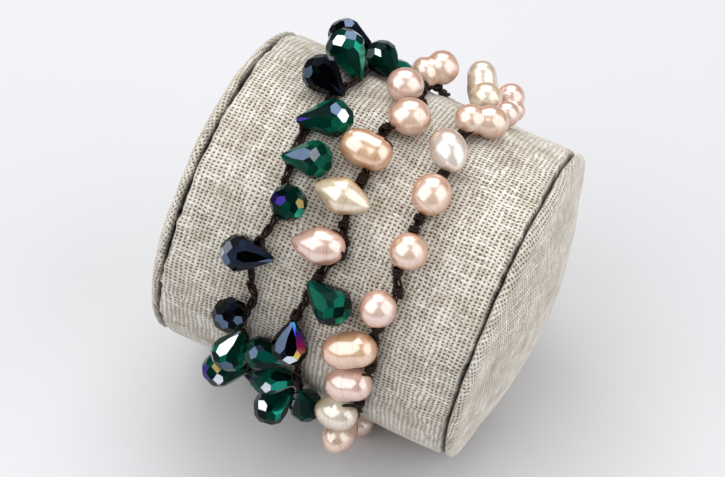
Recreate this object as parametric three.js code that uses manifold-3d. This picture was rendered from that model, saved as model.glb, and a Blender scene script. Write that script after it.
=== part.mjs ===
import * as THREE from "three";
import { ConvexGeometry } from "three/addons/geometries/ConvexGeometry.js";
import { mergeVertices } from "three/addons/utils/BufferGeometryUtils.js";
import Module from "manifold-3d";

// A crocheted bracelet of freshwater pearls and crystal drops, wrapped three times round a
// linen display roll. Millimetres. The roll's own frame has its axis along +X, its front
// towards -Y and its top towards +Z. Turn angles run from the front up over the top.

const wasm = await Module();
wasm.setup();

// Display roll
const ROLL_RADIUS = 31;
const SEAM_TO_SEAM = 58.4;
const HALF_LENGTH = SEAM_TO_SEAM / 2;
const END_DOME = 7;
const END_SHOULDER = 5;
const SHOULDER_RISE = 1.8;
const SEAM_EDGE = 0.8;
const SEAM_GAP = 0.3;
const ROLL_TILT_DEG = 8.9;
const FOOT_DEPTH = 0.8;
const ROLL_SIDES = 48;
const SHOULDER_RINGS = 3;
const CROWN_RINGS = 3;

// Beads, cord and clasp
const PEARL_WIDTH = 6.8;
const CRYSTAL_WIDTH = 6.6;
const BEAD_GAP = 0.3;
const CORD_WIDTH = 1.6;
const CORD_GAP = 0.3;
const CORD_SIDES = 8;
const CORD_STEP = 4.8;
const CLASP_LENGTH = 12;
const CLASP_WIDTH = 5;
const CLASP_END_WIDTH = 3.4;
const CLASP_END_LENGTH = 1.8;
const CLASP_SIDES = 14;
const PEARL_SIDES = 12;
const PEARL_RINGS = 7;
const CRYSTAL_SIDES = 8;

// Heights of the cord's centre over the linen: lying on it, and passing over another stretch
const CORD_LYING = CORD_GAP + CORD_WIDTH / 2;
const CORD_RAISED = Math.max(CORD_LYING + CORD_WIDTH + CORD_GAP, CLASP_WIDTH / 2 + CORD_GAP);

// The whole loop from one clasp end to the other, three turns. Columns: turn angle in degrees,
// counted on from turn to turn, place along the roll's axis as a share of its half length, and
// whether the cord is raised.
const ROUTE = [
  { turn: 166, across: 0.123, raised: true },
  { turn: 180, across: 0, raised: true },
  { turn: 190, across: -0.144, raised: true },
  { turn: 202, across: -0.288, raised: true },
  { turn: 216, across: -0.411, raised: false },
  { turn: 240, across: -0.445, raised: false },
  { turn: 270, across: -0.425, raised: false },
  { turn: 300, across: -0.411, raised: false },
  { turn: 320, across: -0.363, raised: false },
  { turn: 340, across: -0.336, raised: false },
  { turn: 356, across: -0.366, raised: false },
  { turn: 362, across: -0.414, raised: false },
  { turn: 375, across: -0.373, raised: false },
  { turn: 388, across: -0.449, raised: false },
  { turn: 400, across: -0.421, raised: false },
  { turn: 409, across: -0.394, raised: false },
  { turn: 419, across: -0.452, raised: false },
  { turn: 433, across: -0.479, raised: false },
  { turn: 449, across: -0.442, raised: false },
  { turn: 464, across: -0.397, raised: false },
  { turn: 484, across: -0.39, raised: false },
  { turn: 510, across: -0.397, raised: false },
  { turn: 540, across: -0.37, raised: false },
  { turn: 562, across: -0.281, raised: false },
  { turn: 580, across: -0.205, raised: false },
  { turn: 606, across: -0.137, raised: false },
  { turn: 630, across: -0.086, raised: false },
  { turn: 660, across: -0.021, raised: false },
  { turn: 690, across: 0.014, raised: false },
  { turn: 706, across: 0.007, raised: false },
  { turn: 722, across: -0.014, raised: false },
  { turn: 732, across: -0.086, raised: false },
  { turn: 743, across: -0.051, raised: false },
  { turn: 754, across: -0.017, raised: false },
  { turn: 763, across: 0.051, raised: false },
  { turn: 772, across: -0.01, raised: false },
  { turn: 789, across: -0.024, raised: false },
  { turn: 806, across: -0.051, raised: false },
  { turn: 822, across: 0.065, raised: false },
  { turn: 838, across: -0.034, raised: false },
  { turn: 856, across: 0.007, raised: false },
  { turn: 871, across: 0.045, raised: false },
  { turn: 886, across: 0.18, raised: false },
  { turn: 902, across: 0.288, raised: false },
  { turn: 930, across: 0.322, raised: false },
  { turn: 960, across: 0.322, raised: false },
  { turn: 990, across: 0.315, raised: false },
  { turn: 1020, across: 0.322, raised: false },
  { turn: 1045, across: 0.356, raised: false },
  { turn: 1064, across: 0.425, raised: false },
  { turn: 1080, across: 0.445, raised: false },
  { turn: 1093, across: 0.452, raised: false },
  { turn: 1102, across: 0.418, raised: false },
  { turn: 1117, across: 0.455, raised: false },
  { turn: 1125, across: 0.404, raised: false },
  { turn: 1141, across: 0.394, raised: false },
  { turn: 1160, across: 0.397, raised: false },
  { turn: 1182, across: 0.366, raised: false },
  { turn: 1200, across: 0.39, raised: false },
  { turn: 1216, across: 0.411, raised: false },
  { turn: 1230, across: 0.363, raised: false },
  { turn: 1241, across: 0.267, raised: true },
  { turn: 1250, across: 0.158, raised: true },
  { turn: 1260, across: 0, raised: true },
];

// Where the route is parted into nodes, as turn angles in degrees
const CLASP_TURN = 180;
const FRONT_1_START = 330;
const FRONT_1_END = 494;
const FRONT_2_START = 680;
const FRONT_2_END = 852;
const FRONT_3_START = 1036;
const FRONT_3_END = 1219;
const LOOP_TURNS = 1080;

// Pearl forms. Columns: fullness of the tail and head ends (2 is round, less is pointed, more
// is blunt), depth of the ring groove as a share of the width, and its place along the length.
const PEARL_FORMS = {
  round: { tail: 2, head: 2, groove: 0, groovePlace: 0.5 },
  egg: { tail: 1.7, head: 2.2, groove: 0, groovePlace: 0.5 },
  capsule: { tail: 2.5, head: 2.5, groove: 0.05, groovePlace: 0.6 },
  peanut: { tail: 2.4, head: 2.5, groove: 0.2, groovePlace: 0.44 },
  spindle: { tail: 1.45, head: 1.4, groove: 0, groovePlace: 0.5 },
  drop: { tail: 1.4, head: 2.2, groove: 0, groovePlace: 0.5 },
};
const GROOVE_SPREAD = 0.12;

// Crystal drop, from the thread's end to the full end: a facet ring per row. Columns: place
// along the length and width there, as shares, and the ring's turn in half facets.
const CRYSTAL_RINGS = [
  { along: 0, wide: 0.2, twist: 0 },
  { along: 0.22, wide: 0.5, twist: 1 },
  { along: 0.46, wide: 0.86, twist: 0 },
  { along: 0.68, wide: 1, twist: 1 },
  { along: 0.88, wide: 0.72, twist: 0 },
  { along: 1, wide: 0.3, twist: 1 },
];

// Pearls that show, as nodes of their own. Columns: strand and number, form, turn angle,
// place along the roll's axis as a share of its half length, heading in the linen's plane (0 is
// towards +X, 90 is up the turn), pitch off the linen, and length and width as shares of
// PEARL_WIDTH. In a cluster, aside is the place further along the axis, in pearl widths.
const PEARLS = [
  { name: "2_01", form: "peanut", turn: 126, across: -0.027, heading: 30, pitch: 35, long: 1.35, wide: 1 },
  { name: "2_02", form: "round", turn: 105, across: -0.089, heading: 20, pitch: 0, long: 1.04, wide: 0.97 },
  { name: "2_03", form: "egg", turn: 91, across: 0.055, heading: 30, pitch: 0, long: 1.16, wide: 1.03 },
  { name: "2_04", form: "capsule", turn: 74, across: -0.068, heading: 0, pitch: 0, long: 1.4, wide: 1 },
  { name: "2_05", form: "spindle", turn: 58, across: -0.068, heading: 0, pitch: 0, long: 1.6, wide: 1 },
  { name: "2_06", form: "drop", turn: 42, across: -0.082, heading: 14, pitch: 0, long: 1.45, wide: 1 },
  { name: "3_01", form: "capsule", turn: 134, across: 0.27, heading: 180, pitch: 64, long: 1.36, wide: 0.88 },
  { name: "3_02", form: "round", turn: 124, across: 0.27, aside: 0.36, heading: 0, long: 0.92, wide: 0.9 },
  {
    name: "3_03",
    form: "peanut",
    turn: 134,
    across: 0.27,
    aside: 0.93,
    heading: 150,
    pitch: 55,
    long: 1.1,
    wide: 0.82,
  },
  { name: "3_04", form: "round", turn: 119, across: 0.27, aside: 1.1, heading: 0, long: 0.72, wide: 0.72 },
  { name: "3_05", form: "peanut", turn: 104, across: 0.27, aside: 0.74, heading: 30, long: 1.48, wide: 0.93 },
  { name: "3_06", form: "egg", turn: 85, across: 0.377, heading: 133, pitch: 0, long: 1.32, wide: 1 },
  { name: "3_07", form: "round", turn: 69, across: 0.411, heading: 90, pitch: 0, long: 1.12, wide: 1.04 },
  { name: "3_08", form: "round", turn: 51, across: 0.432, heading: 0, pitch: 0, long: 1, wide: 0.98 },
  { name: "3_09", form: "round", turn: 32, across: 0.394, heading: 60, pitch: 0, long: 1, wide: 0.98 },
  { name: "3_10", form: "capsule", turn: 16, across: 0.315, heading: 30, pitch: 0, long: 1.48, wide: 1 },
  { name: "3_11", form: "capsule", turn: 3, across: 0.366, heading: 30, pitch: 0, long: 1.3, wide: 0.94 },
  { name: "3_12", form: "egg", turn: 345, across: 0.096, aside: 0.94, heading: 20, long: 1.28, wide: 0.97 },
  { name: "3_13", form: "round", turn: 325, across: 0.332, heading: 90, pitch: 60, long: 1.3, wide: 0.95 },
];

// Crystal drops that show, as nodes of their own, with the pearls' columns. Heading and pitch
// point from the thread's end to the full end; length and width are shares of CRYSTAL_WIDTH.
const CRYSTALS = [
  { name: "1_01", turn: 107, across: -0.493, heading: 163, pitch: 40, long: 1.55, wide: 1.06 },
  { name: "1_02", turn: 125, across: -0.589, heading: 180, pitch: 5, long: 1.45, wide: 1 },
  { name: "1_03", turn: 118, across: -0.315, heading: 150, pitch: 20, long: 1.35, wide: 0.94 },
  { name: "1_04", turn: 92, across: -0.514, heading: 153, pitch: 0, long: 1.5, wide: 1.02 },
  { name: "1_05", turn: 78, across: -0.387, heading: 31, pitch: 0, long: 1.52, wide: 1 },
  { name: "1_06", turn: 64, across: -0.363, heading: 18, pitch: 0, long: 1.35, wide: 1 },
  { name: "1_07", turn: 49, across: -0.342, heading: 60, pitch: 65, long: 1.35, wide: 0.95 },
  { name: "1_08", turn: 31, across: -0.466, heading: 194, pitch: 0, long: 1.45, wide: 0.97 },
  { name: "1_09", turn: 10, across: -0.455, heading: 75, pitch: 50, long: 1.35, wide: 0.94 },
  { name: "1_10", turn: 354, across: -0.418, heading: 255, pitch: 25, long: 1.35, wide: 1 },
  { name: "1_11", turn: 337, across: -0.459, heading: 180, pitch: 30, long: 1.42, wide: 0.98 },
  { name: "2_07", turn: 28, across: 0.089, heading: 337, pitch: 0, long: 1.42, wide: 1.05 },
  { name: "2_08", turn: 10, across: -0.051, heading: 277, pitch: 0, long: 1.4, wide: 0.98 },
  { name: "2_09", turn: 359, across: -0.182, heading: 190, pitch: 0, long: 1.28, wide: 0.92 },
  { name: "2_10", turn: 346, across: -0.116, heading: 180, pitch: 26, long: 1.4, wide: 0.88 },
  { name: "2_11", turn: 326, across: -0.123, heading: 200, pitch: 60, long: 1.35, wide: 0.98 },
  { name: "2_12", turn: 341, across: 0.096, heading: 280, pitch: 0, long: 1.35, wide: 0.92 },
];

// Beads of the hidden stretches, each fused to its cord. A row of beads starts at a turn angle
// counted on along the route, and each stands its order of bead spacings further on. A bead
// beside the floor stands some degrees past its floor contact.
const HIDDEN_12 = [
  { from: 517, order: 0, heading: 60 },
  { from: 517, order: 1, heading: 250 },
  { from: 517, order: 2, heading: 90 },
  { from: 573, order: 0, heading: 300 },
  { from: 573, order: 1, heading: 120 },
  { beside: 630, side: -1, past: 4, heading: 180 },
  { beside: 630, side: 1, past: 2, heading: 0 },
];
const HIDDEN_23 = [
  { from: 900, order: 0, heading: 0 },
  { from: 900, order: 1, heading: 40 },
  { from: 900, order: 2, heading: 150 },
  { beside: 990, side: -1, past: 4, heading: 80 },
  { beside: 990, side: 1, past: 3, heading: 20 },
];
const HIDDEN_31 = [
  { from: 221, order: 0, heading: 200 },
  { from: 221, order: 1, heading: 20 },
  { beside: 270, side: -1, past: 0, heading: 180 },
  { beside: 270, side: 1, past: 0, heading: 0 },
  { beside: 270, side: 1, past: 16, heading: 160 },
];
const HIDDEN_PEARL = { form: "round", long: 1.15, wide: 0.98 };
const HIDDEN_CRYSTAL = { long: 1.3, wide: 0.95 };
const HIDDEN_BEAD_GAP = 0.4;
const FLOOR_SEARCH_DEG = 60;
const HALVINGS = 24;

const UP = new THREE.Vector3(0, 0, 1);
const radians = THREE.MathUtils.degToRad;

const FINISH = {
  linen: new THREE.MeshStandardMaterial({ color: "#c9c0af", roughness: 0.95, metalness: 0 }),
  pearl: new THREE.MeshStandardMaterial({ color: "#f0c9ad", roughness: 0.3, metalness: 0 }),
  crystal: new THREE.MeshStandardMaterial({ color: "#0c4a40", roughness: 0.08, metalness: 0 }),
  cord: new THREE.MeshStandardMaterial({ color: "#2a1a16", roughness: 0.8, metalness: 0 }),
  brass: new THREE.MeshStandardMaterial({ color: "#a98850", roughness: 0.35, metalness: 1 }),
};

// The largest piece of a solid: a cut may free a chip of a thin end, which is dropped
function largestOf(solid) {
  return solid.decompose().reduce((best, piece) => (piece.volume() > best.volume() ? piece : best));
}

// The roll leans: its right rim lies on the floor and the beads lift its left end.
const tilt = radians(ROLL_TILT_DEG);
const axisHeight =
  HALF_LENGTH * Math.sin(tilt) + ROLL_RADIUS * Math.cos(tilt) - FOOT_DEPTH;
const pose = new THREE.Matrix4()
  .makeRotationY(tilt)
  .setPosition(0, 0, axisHeight);

function solidOf(geometry) {
  const plain = geometry.clone();
  plain.deleteAttribute("normal");
  plain.deleteAttribute("uv");
  const merged = mergeVertices(plain);
  return new wasm.Manifold(
    new wasm.Mesh({
      numProp: 3,
      vertProperties: new Float32Array(merged.attributes.position.array),
      triVerts: new Uint32Array(merged.index.array),
    }),
  );
}

function geometryOf(solid) {
  const mesh = solid.getMesh();
  const geometry = new THREE.BufferGeometry();
  geometry.setAttribute("position", new THREE.BufferAttribute(mesh.vertProperties, 3));
  geometry.setIndex(new THREE.BufferAttribute(mesh.triVerts, 1));
  const faceted = geometry.toNonIndexed();
  faceted.computeVertexNormals();
  return faceted;
}

function meshOf(name, geometry, material) {
  const mesh = new THREE.Mesh(geometry, material);
  mesh.name = name;
  return mesh;
}

// A point beside the roll, by turn angle, share of its half length and height over the linen
function besideRoll(turnDeg, across, height) {
  const turn = radians(turnDeg);
  const reach = ROLL_RADIUS + height;
  return new THREE.Vector3(
    across * HALF_LENGTH,
    -reach * Math.cos(turn),
    reach * Math.sin(turn),
  );
}

// The cord's path: a smooth line through the route's rows, drawn on the unrolled linen
class WrappedPath extends THREE.Curve {
  constructor(rows) {
    super();
    this.last = rows.length - 1;
    this.chart = new THREE.CatmullRomCurve3(
      rows.map(({ turn, across, raised }) => {
        return new THREE.Vector3(turn, across, raised ? CORD_RAISED : CORD_LYING);
      }),
      false,
      "catmullrom",
    );
  }

  getPoint(t) {
    const { x, y, z } = this.chart.getPoint(t);
    return besideRoll(x, y, z);
  }

  // The curve's parameter at a turn angle, which only grows along the path
  parameterAt(turn) {
    let low = 0;
    let high = 1;
    for (let step = 0; step < HALVINGS; step += 1) {
      const middle = (low + high) / 2;
      if (this.chart.getPoint(middle).x < turn) low = middle;
      else high = middle;
    }
    return (low + high) / 2;
  }

  acrossAt(turn) {
    return this.chart.getPoint(this.parameterAt(turn)).y;
  }
}

// A stretch of a path between two of its parameters
class Stretch extends THREE.Curve {
  constructor(path, start, end) {
    super();
    Object.assign(this, { path, start, end });
  }

  getPoint(t) {
    return this.path.getPoint(this.start + (this.end - this.start) * t);
  }
}

const cordPath = new WrappedPath(ROUTE);

// The path's parameter where the straight distance from a point first exceeds a reach
function parameterPast(origin, from, to, reach) {
  let near = from;
  let far = to;
  for (let step = 0; step < HALVINGS; step += 1) {
    const middle = (near + far) / 2;
    if (cordPath.getPoint(middle).distanceTo(origin) < reach) near = middle;
    else far = middle;
  }
  return (near + far) / 2;
}

function circle(radius, sides) {
  const corners = [];
  for (let side = 0; side < sides; side += 1) {
    const angle = (2 * Math.PI * side) / sides;
    corners.push(new THREE.Vector2(radius * Math.cos(angle), radius * Math.sin(angle)));
  }
  return new THREE.Shape(corners);
}

function cordAlong(stretch, width) {
  const steps = Math.max(2, Math.round(stretch.getLength() / CORD_STEP));
  return new THREE.ExtrudeGeometry(circle(width / 2, CORD_SIDES), {
    steps,
    extrudePath: stretch,
    curveSegments: 1,
  });
}

// Half width of a pearl at a place along its length, both as shares
function pearlShare(form, along) {
  const reach = Math.abs(2 * along - 1);
  const fullness = along < 0.5 ? form.tail : form.head;
  const body = Math.pow(1 - Math.pow(reach, fullness), 1 / fullness);
  const away = (along - form.groovePlace) / GROOVE_SPREAD;
  return body * (1 - form.groove * Math.exp(-away * away));
}

// A pearl about its own centre, its length along Z
function pearlGeometry(form, length, width) {
  const outline = [];
  for (let ring = 0; ring <= PEARL_RINGS; ring += 1) {
    const along = (1 - Math.cos((Math.PI * ring) / PEARL_RINGS)) / 2;
    const reach = ring % PEARL_RINGS === 0 ? 0 : (width / 2) * pearlShare(form, along);
    outline.push(new THREE.Vector2(reach, (along - 0.5) * length));
  }
  return new THREE.LatheGeometry(outline, PEARL_SIDES).rotateX(Math.PI / 2);
}

// A faceted drop about its own centre, its full end towards +Z
function crystalGeometry(length, width) {
  const corners = [];
  for (const ring of CRYSTAL_RINGS) {
    for (let side = 0; side < CRYSTAL_SIDES; side += 1) {
      const angle = ((2 * side + ring.twist) * Math.PI) / CRYSTAL_SIDES;
      const reach = (ring.wide * width) / 2;
      const along = (ring.along - 0.5) * length;
      corners.push(new THREE.Vector3(reach * Math.cos(angle), reach * Math.sin(angle), along));
    }
  }
  return new ConvexGeometry(corners);
}

// Sets a bead on the linen at its turn and place across: turned by heading and pitch, then
// moved outwards until its nearest corner clears the linen by BEAD_GAP.
function seated(geometry, { turn, across, aside = 0, heading, pitch = 0 }) {
  const outward = besideRoll(turn, 0, 1 - ROLL_RADIUS);
  const onward = besideRoll(turn + 90, 0, 1 - ROLL_RADIUS);
  const along = new THREE.Vector3(1, 0, 0)
    .multiplyScalar(Math.cos(radians(heading)) * Math.cos(radians(pitch)))
    .addScaledVector(onward, Math.sin(radians(heading)) * Math.cos(radians(pitch)))
    .addScaledVector(outward, Math.sin(radians(pitch)));
  const set = geometry.clone();
  set.applyQuaternion(new THREE.Quaternion().setFromUnitVectors(UP, along));
  const corner = new THREE.Vector3();
  const clear = ROLL_RADIUS + BEAD_GAP;
  let reach = 0;
  for (let i = 0; i < set.attributes.position.count; i += 1) {
    corner.fromBufferAttribute(set.attributes.position, i);
    const aside = corner.dot(onward);
    reach = Math.max(reach, Math.sqrt(clear * clear - aside * aside) - corner.dot(outward));
  }
  const station = across * HALF_LENGTH + aside * PEARL_WIDTH;
  const centre = outward.multiplyScalar(reach).setX(station);
  return set.translate(centre.x, centre.y, centre.z);
}

function lowestPoint(geometry) {
  const stood = geometry.clone().applyMatrix4(pose);
  stood.computeBoundingBox();
  return stood.boundingBox.min.z;
}

// The turn beside the floor, to one side of straight down, where a bead just clears it
function floorTurn(geometry, { beside, side, past, heading }) {
  let near = 0;
  let far = FLOOR_SEARCH_DEG;
  for (let step = 0; step < HALVINGS; step += 1) {
    const middle = (near + far) / 2;
    const turn = beside + side * middle;
    const bead = seated(geometry, { turn, across: cordPath.acrossAt(turn), heading });
    if (lowestPoint(bead) < 0) near = middle;
    else far = middle;
  }
  return beside + side * (far + past);
}

// One hidden string: its cord and beads as one solid. Beads of a row are spaced by their
// length, so that they clear each other whichever way they head.
function stringSolid(stretch, beadGeometry, beadLength, rows) {
  const spacing = THREE.MathUtils.radToDeg((beadLength + HIDDEN_BEAD_GAP) / ROLL_RADIUS);
  let string = solidOf(cordAlong(stretch, CORD_WIDTH));
  for (const row of rows) {
    const turn = row.beside ? floorTurn(beadGeometry, row) : row.from + row.order * spacing;
    const across = cordPath.acrossAt(turn);
    string = string.add(solidOf(seated(beadGeometry, { turn, across, heading: row.heading })));
  }
  return geometryOf(string);
}

function rollSide() {
  const half = HALF_LENGTH - SEAM_GAP / 2;
  const outline = [
    [0, -half],
    [ROLL_RADIUS - SEAM_EDGE, -half],
    [ROLL_RADIUS, SEAM_EDGE - half],
    [ROLL_RADIUS, half - SEAM_EDGE],
    [ROLL_RADIUS - SEAM_EDGE, half],
    [0, half],
  ].map(([reach, station]) => new THREE.Vector2(reach, station));
  return new THREE.LatheGeometry(outline, ROLL_SIDES).rotateZ(-Math.PI / 2);
}

// A stuffed end: an edge at the seam, a round shoulder and a crowned middle
function rollEnd() {
  const inner = HALF_LENGTH + SEAM_GAP / 2;
  const crownRadius = ROLL_RADIUS - END_SHOULDER;
  const crownStart = SEAM_EDGE + SHOULDER_RISE;
  const outline = [
    [0, inner],
    [ROLL_RADIUS - SEAM_EDGE, inner],
  ];
  for (let ring = 0; ring <= SHOULDER_RINGS; ring += 1) {
    const angle = (ring / SHOULDER_RINGS) * (Math.PI / 2);
    outline.push([
      crownRadius + END_SHOULDER * Math.cos(angle),
      inner + SEAM_EDGE + SHOULDER_RISE * Math.sin(angle),
    ]);
  }
  for (let ring = 1; ring <= CROWN_RINGS; ring += 1) {
    const share = 1 - ring / CROWN_RINGS;
    const rise = (END_DOME - crownStart) * (1 - share * share);
    outline.push([crownRadius * share, inner + crownStart + rise]);
  }
  const points = outline.map(([reach, station]) => new THREE.Vector2(reach, station));
  return new THREE.LatheGeometry(points, ROLL_SIDES).rotateZ(-Math.PI / 2);
}

// The floor's half space in the roll's frame, which flattens the linen where it rests
function floorBlock() {
  const size = 4 * ROLL_RADIUS;
  return new THREE.BoxGeometry(size, size, size)
    .translate(HALF_LENGTH, 0, -size / 2)
    .applyMatrix4(pose.clone().invert());
}

function claspBarrel() {
  const half = CLASP_LENGTH / 2;
  const body = half - CLASP_END_LENGTH;
  const outline = [
    [0, -half],
    [CLASP_END_WIDTH / 2, -half],
    [CLASP_END_WIDTH / 2, -body],
    [CLASP_WIDTH / 2, -body],
    [CLASP_WIDTH / 2, body],
    [CLASP_END_WIDTH / 2, body],
    [CLASP_END_WIDTH / 2, half],
    [0, half],
  ].map(([reach, along]) => new THREE.Vector2(reach, along));
  return new THREE.LatheGeometry(outline, CLASP_SIDES).rotateX(Math.PI / 2);
}

const roll = new THREE.Group();
const floor = solidOf(floorBlock());
const mirrored = new THREE.Matrix4().makeRotationZ(Math.PI);
roll.add(
  meshOf("roll_side", geometryOf(solidOf(rollSide()).subtract(floor)), FINISH.linen),
  meshOf("roll_end_left", rollEnd().applyMatrix4(mirrored), FINISH.linen),
  meshOf("roll_end_right", geometryOf(solidOf(rollEnd()).subtract(floor)), FINISH.linen),
);

// The clasp lies across the cord's line behind the roll, in the loop's one break.
const loopStart = cordPath.parameterAt(CLASP_TURN);
const loopEnd = cordPath.parameterAt(CLASP_TURN + LOOP_TURNS);
const claspMiddle = cordPath.getPoint(loopStart);
const claspReach = CLASP_LENGTH / 2 + CORD_GAP;
const firstBead = cordPath.parameterAt(HIDDEN_31[0].from);
const lastFront = cordPath.parameterAt(FRONT_3_END);
const crystalSideStart = parameterPast(claspMiddle, loopStart, firstBead, claspReach);
const pearlSideEnd = parameterPast(claspMiddle, loopEnd, lastFront, claspReach);
const crystalSideTip = cordPath.getPoint(crystalSideStart);
const pearlSideTip = cordPath.getPoint(pearlSideEnd);
const clasp = meshOf("clasp_barrel", claspBarrel(), FINISH.brass);
clasp.position.addVectors(crystalSideTip, pearlSideTip).multiplyScalar(0.5);
clasp.quaternion.setFromUnitVectors(UP, crystalSideTip.clone().sub(pearlSideTip).normalize());

// Each node's cord ends half a gap short of where its stretch ends.
function stretchBetween(startTurn, endTurn) {
  const trim = THREE.MathUtils.radToDeg(CORD_GAP / 2 / ROLL_RADIUS);
  const start = cordPath.parameterAt(startTurn + trim);
  return new Stretch(cordPath, start, cordPath.parameterAt(endTurn - trim));
}

const fronts = {
  cord_front_1: stretchBetween(FRONT_1_START, FRONT_1_END),
  cord_front_2: stretchBetween(FRONT_2_START, FRONT_2_END),
  cord_front_3: stretchBetween(FRONT_3_START, FRONT_3_END),
};
const strands = new THREE.Group();
let saddle = null;
for (const [name, stretch] of Object.entries(fronts)) {
  strands.add(meshOf(name, cordAlong(stretch, CORD_WIDTH), FINISH.cord));
  const room = solidOf(cordAlong(stretch, CORD_WIDTH + 2 * BEAD_GAP));
  saddle = saddle ? saddle.add(room) : room;
}

// Each bead that shows is saddled over the cord it rides on.
const beads = new THREE.Group();
for (const row of PEARLS) {
  const form = PEARL_FORMS[row.form];
  const pearl = pearlGeometry(form, row.long * PEARL_WIDTH, row.wide * PEARL_WIDTH);
  const cut = largestOf(solidOf(seated(pearl, row)).subtract(saddle));
  beads.add(meshOf(`pearl_${row.name}`, geometryOf(cut), FINISH.pearl));
}
for (const row of CRYSTALS) {
  const drop = crystalGeometry(row.long * CRYSTAL_WIDTH, row.wide * CRYSTAL_WIDTH);
  const cut = largestOf(solidOf(seated(drop, row)).subtract(saddle));
  beads.add(meshOf(`crystal_${row.name}`, geometryOf(cut), FINISH.crystal));
}

const pearlLength = HIDDEN_PEARL.long * PEARL_WIDTH;
const hiddenPearl = pearlGeometry(
  PEARL_FORMS[HIDDEN_PEARL.form],
  pearlLength,
  HIDDEN_PEARL.wide * PEARL_WIDTH,
);
const dropLength = HIDDEN_CRYSTAL.long * CRYSTAL_WIDTH;
const hiddenDrop = crystalGeometry(dropLength, HIDDEN_CRYSTAL.wide * CRYSTAL_WIDTH);
const claspCrystals = stretchBetween(CLASP_TURN, FRONT_1_START);
claspCrystals.start = crystalSideStart;
const claspPearls = stretchBetween(FRONT_3_END, CLASP_TURN + LOOP_TURNS);
claspPearls.end = pearlSideEnd;
const back12 = stretchBetween(FRONT_1_END, FRONT_2_START);
const back23 = stretchBetween(FRONT_2_END, FRONT_3_START);
const backCrystals = stringSolid(back12, hiddenDrop, dropLength, HIDDEN_12);
const backPearls = stringSolid(back23, hiddenPearl, pearlLength, HIDDEN_23);
const claspSideCrystals = stringSolid(claspCrystals, hiddenDrop, dropLength, HIDDEN_31);
strands.add(
  meshOf("string_back_crystals", backCrystals, FINISH.crystal),
  meshOf("string_back_pearls", backPearls, FINISH.pearl),
  meshOf("string_clasp_crystals", claspSideCrystals, FINISH.crystal),
  meshOf("string_clasp_plain", cordAlong(claspPearls, CORD_WIDTH), FINISH.cord),
  clasp,
);

// The whole leans and stands on the floor plane, with its origin under the middle of its box.
const leaning = new THREE.Group();
leaning.add(roll, strands, beads);
leaning.rotation.y = tilt;
leaning.position.z = axisHeight;
const group = new THREE.Group();
group.add(leaning);
group.updateMatrixWorld(true);
const box = new THREE.Box3().setFromObject(group, true);
const middle = box.getCenter(new THREE.Vector3());
leaning.position.x -= middle.x;
leaning.position.y -= middle.y;

export default group;
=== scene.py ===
"""A crocheted bracelet of freshwater pearls and crystal drops on a linen display roll."""

import logging
import math
import random
from dataclasses import dataclass, field, replace
from enum import Enum
from functools import partial
from typing import Any, Callable, Iterable, Iterator, Optional, Sequence

import bmesh
import bpy
from mathutils import Matrix, Vector, noise

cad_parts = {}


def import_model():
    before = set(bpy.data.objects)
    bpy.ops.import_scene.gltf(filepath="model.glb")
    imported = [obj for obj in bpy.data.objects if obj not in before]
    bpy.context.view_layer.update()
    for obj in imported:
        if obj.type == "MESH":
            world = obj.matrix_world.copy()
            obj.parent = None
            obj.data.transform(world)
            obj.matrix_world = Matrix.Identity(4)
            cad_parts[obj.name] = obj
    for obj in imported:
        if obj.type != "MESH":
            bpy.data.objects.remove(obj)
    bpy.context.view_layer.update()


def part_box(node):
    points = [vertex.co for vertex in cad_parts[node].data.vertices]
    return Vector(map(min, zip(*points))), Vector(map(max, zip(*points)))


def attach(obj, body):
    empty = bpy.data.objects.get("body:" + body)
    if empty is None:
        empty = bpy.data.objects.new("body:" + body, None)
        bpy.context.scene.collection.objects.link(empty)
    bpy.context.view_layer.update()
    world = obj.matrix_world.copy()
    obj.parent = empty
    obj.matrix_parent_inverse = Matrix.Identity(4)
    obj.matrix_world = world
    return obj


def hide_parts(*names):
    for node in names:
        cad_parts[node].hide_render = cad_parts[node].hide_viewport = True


LOG = logging.getLogger("pearl_bracelet")
MM = 0.001
MATH = "ShaderNodeMath"
NOISE = "ShaderNodeTexNoise"
RANGE = "ShaderNodeMapRange"
MIX = "ShaderNodeMix"
RAMP = "ShaderNodeValToRGB"
VECTOR_MATH = "ShaderNodeVectorMath"
SPLIT = "ShaderNodeSeparateXYZ"
COMBINE = "ShaderNodeCombineXYZ"
COORDINATES = "ShaderNodeTexCoord"
UV_MAP = "ShaderNodeUVMap"
BUMP = "ShaderNodeBump"
ATTRIBUTE = "ShaderNodeAttribute"
FACING = "ShaderNodeLayerWeight"


def linear(hex_colour: str) -> tuple[float, float, float, float]:
    """Turns an sRGB hex colour into a linear one.

    Args:
        hex_colour: the colour as "#rrggbb".

    Returns:
        Linear red, green and blue, and full opacity.
    """
    parts = [int(hex_colour[i : i + 2], 16) / 255 for i in (1, 3, 5)]
    red, green, blue = [p / 12.92 if p <= 0.04045 else ((p + 0.055) / 1.055) ** 2.4 for p in parts]
    return (red, green, blue, 1.0)


def feed(node: Any, inputs: dict) -> None:
    """Sets or links a node's inputs.

    Args:
        node: the node.
        inputs: socket name or index to a value, an output socket, or a node for its first output.
    """
    for key, value in inputs.items():
        source = value.outputs[0] if isinstance(value, bpy.types.Node) else value
        if isinstance(source, bpy.types.NodeSocket):
            node.id_data.links.new(source, node.inputs[key])
        else:
            node.inputs[key].default_value = source


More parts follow.
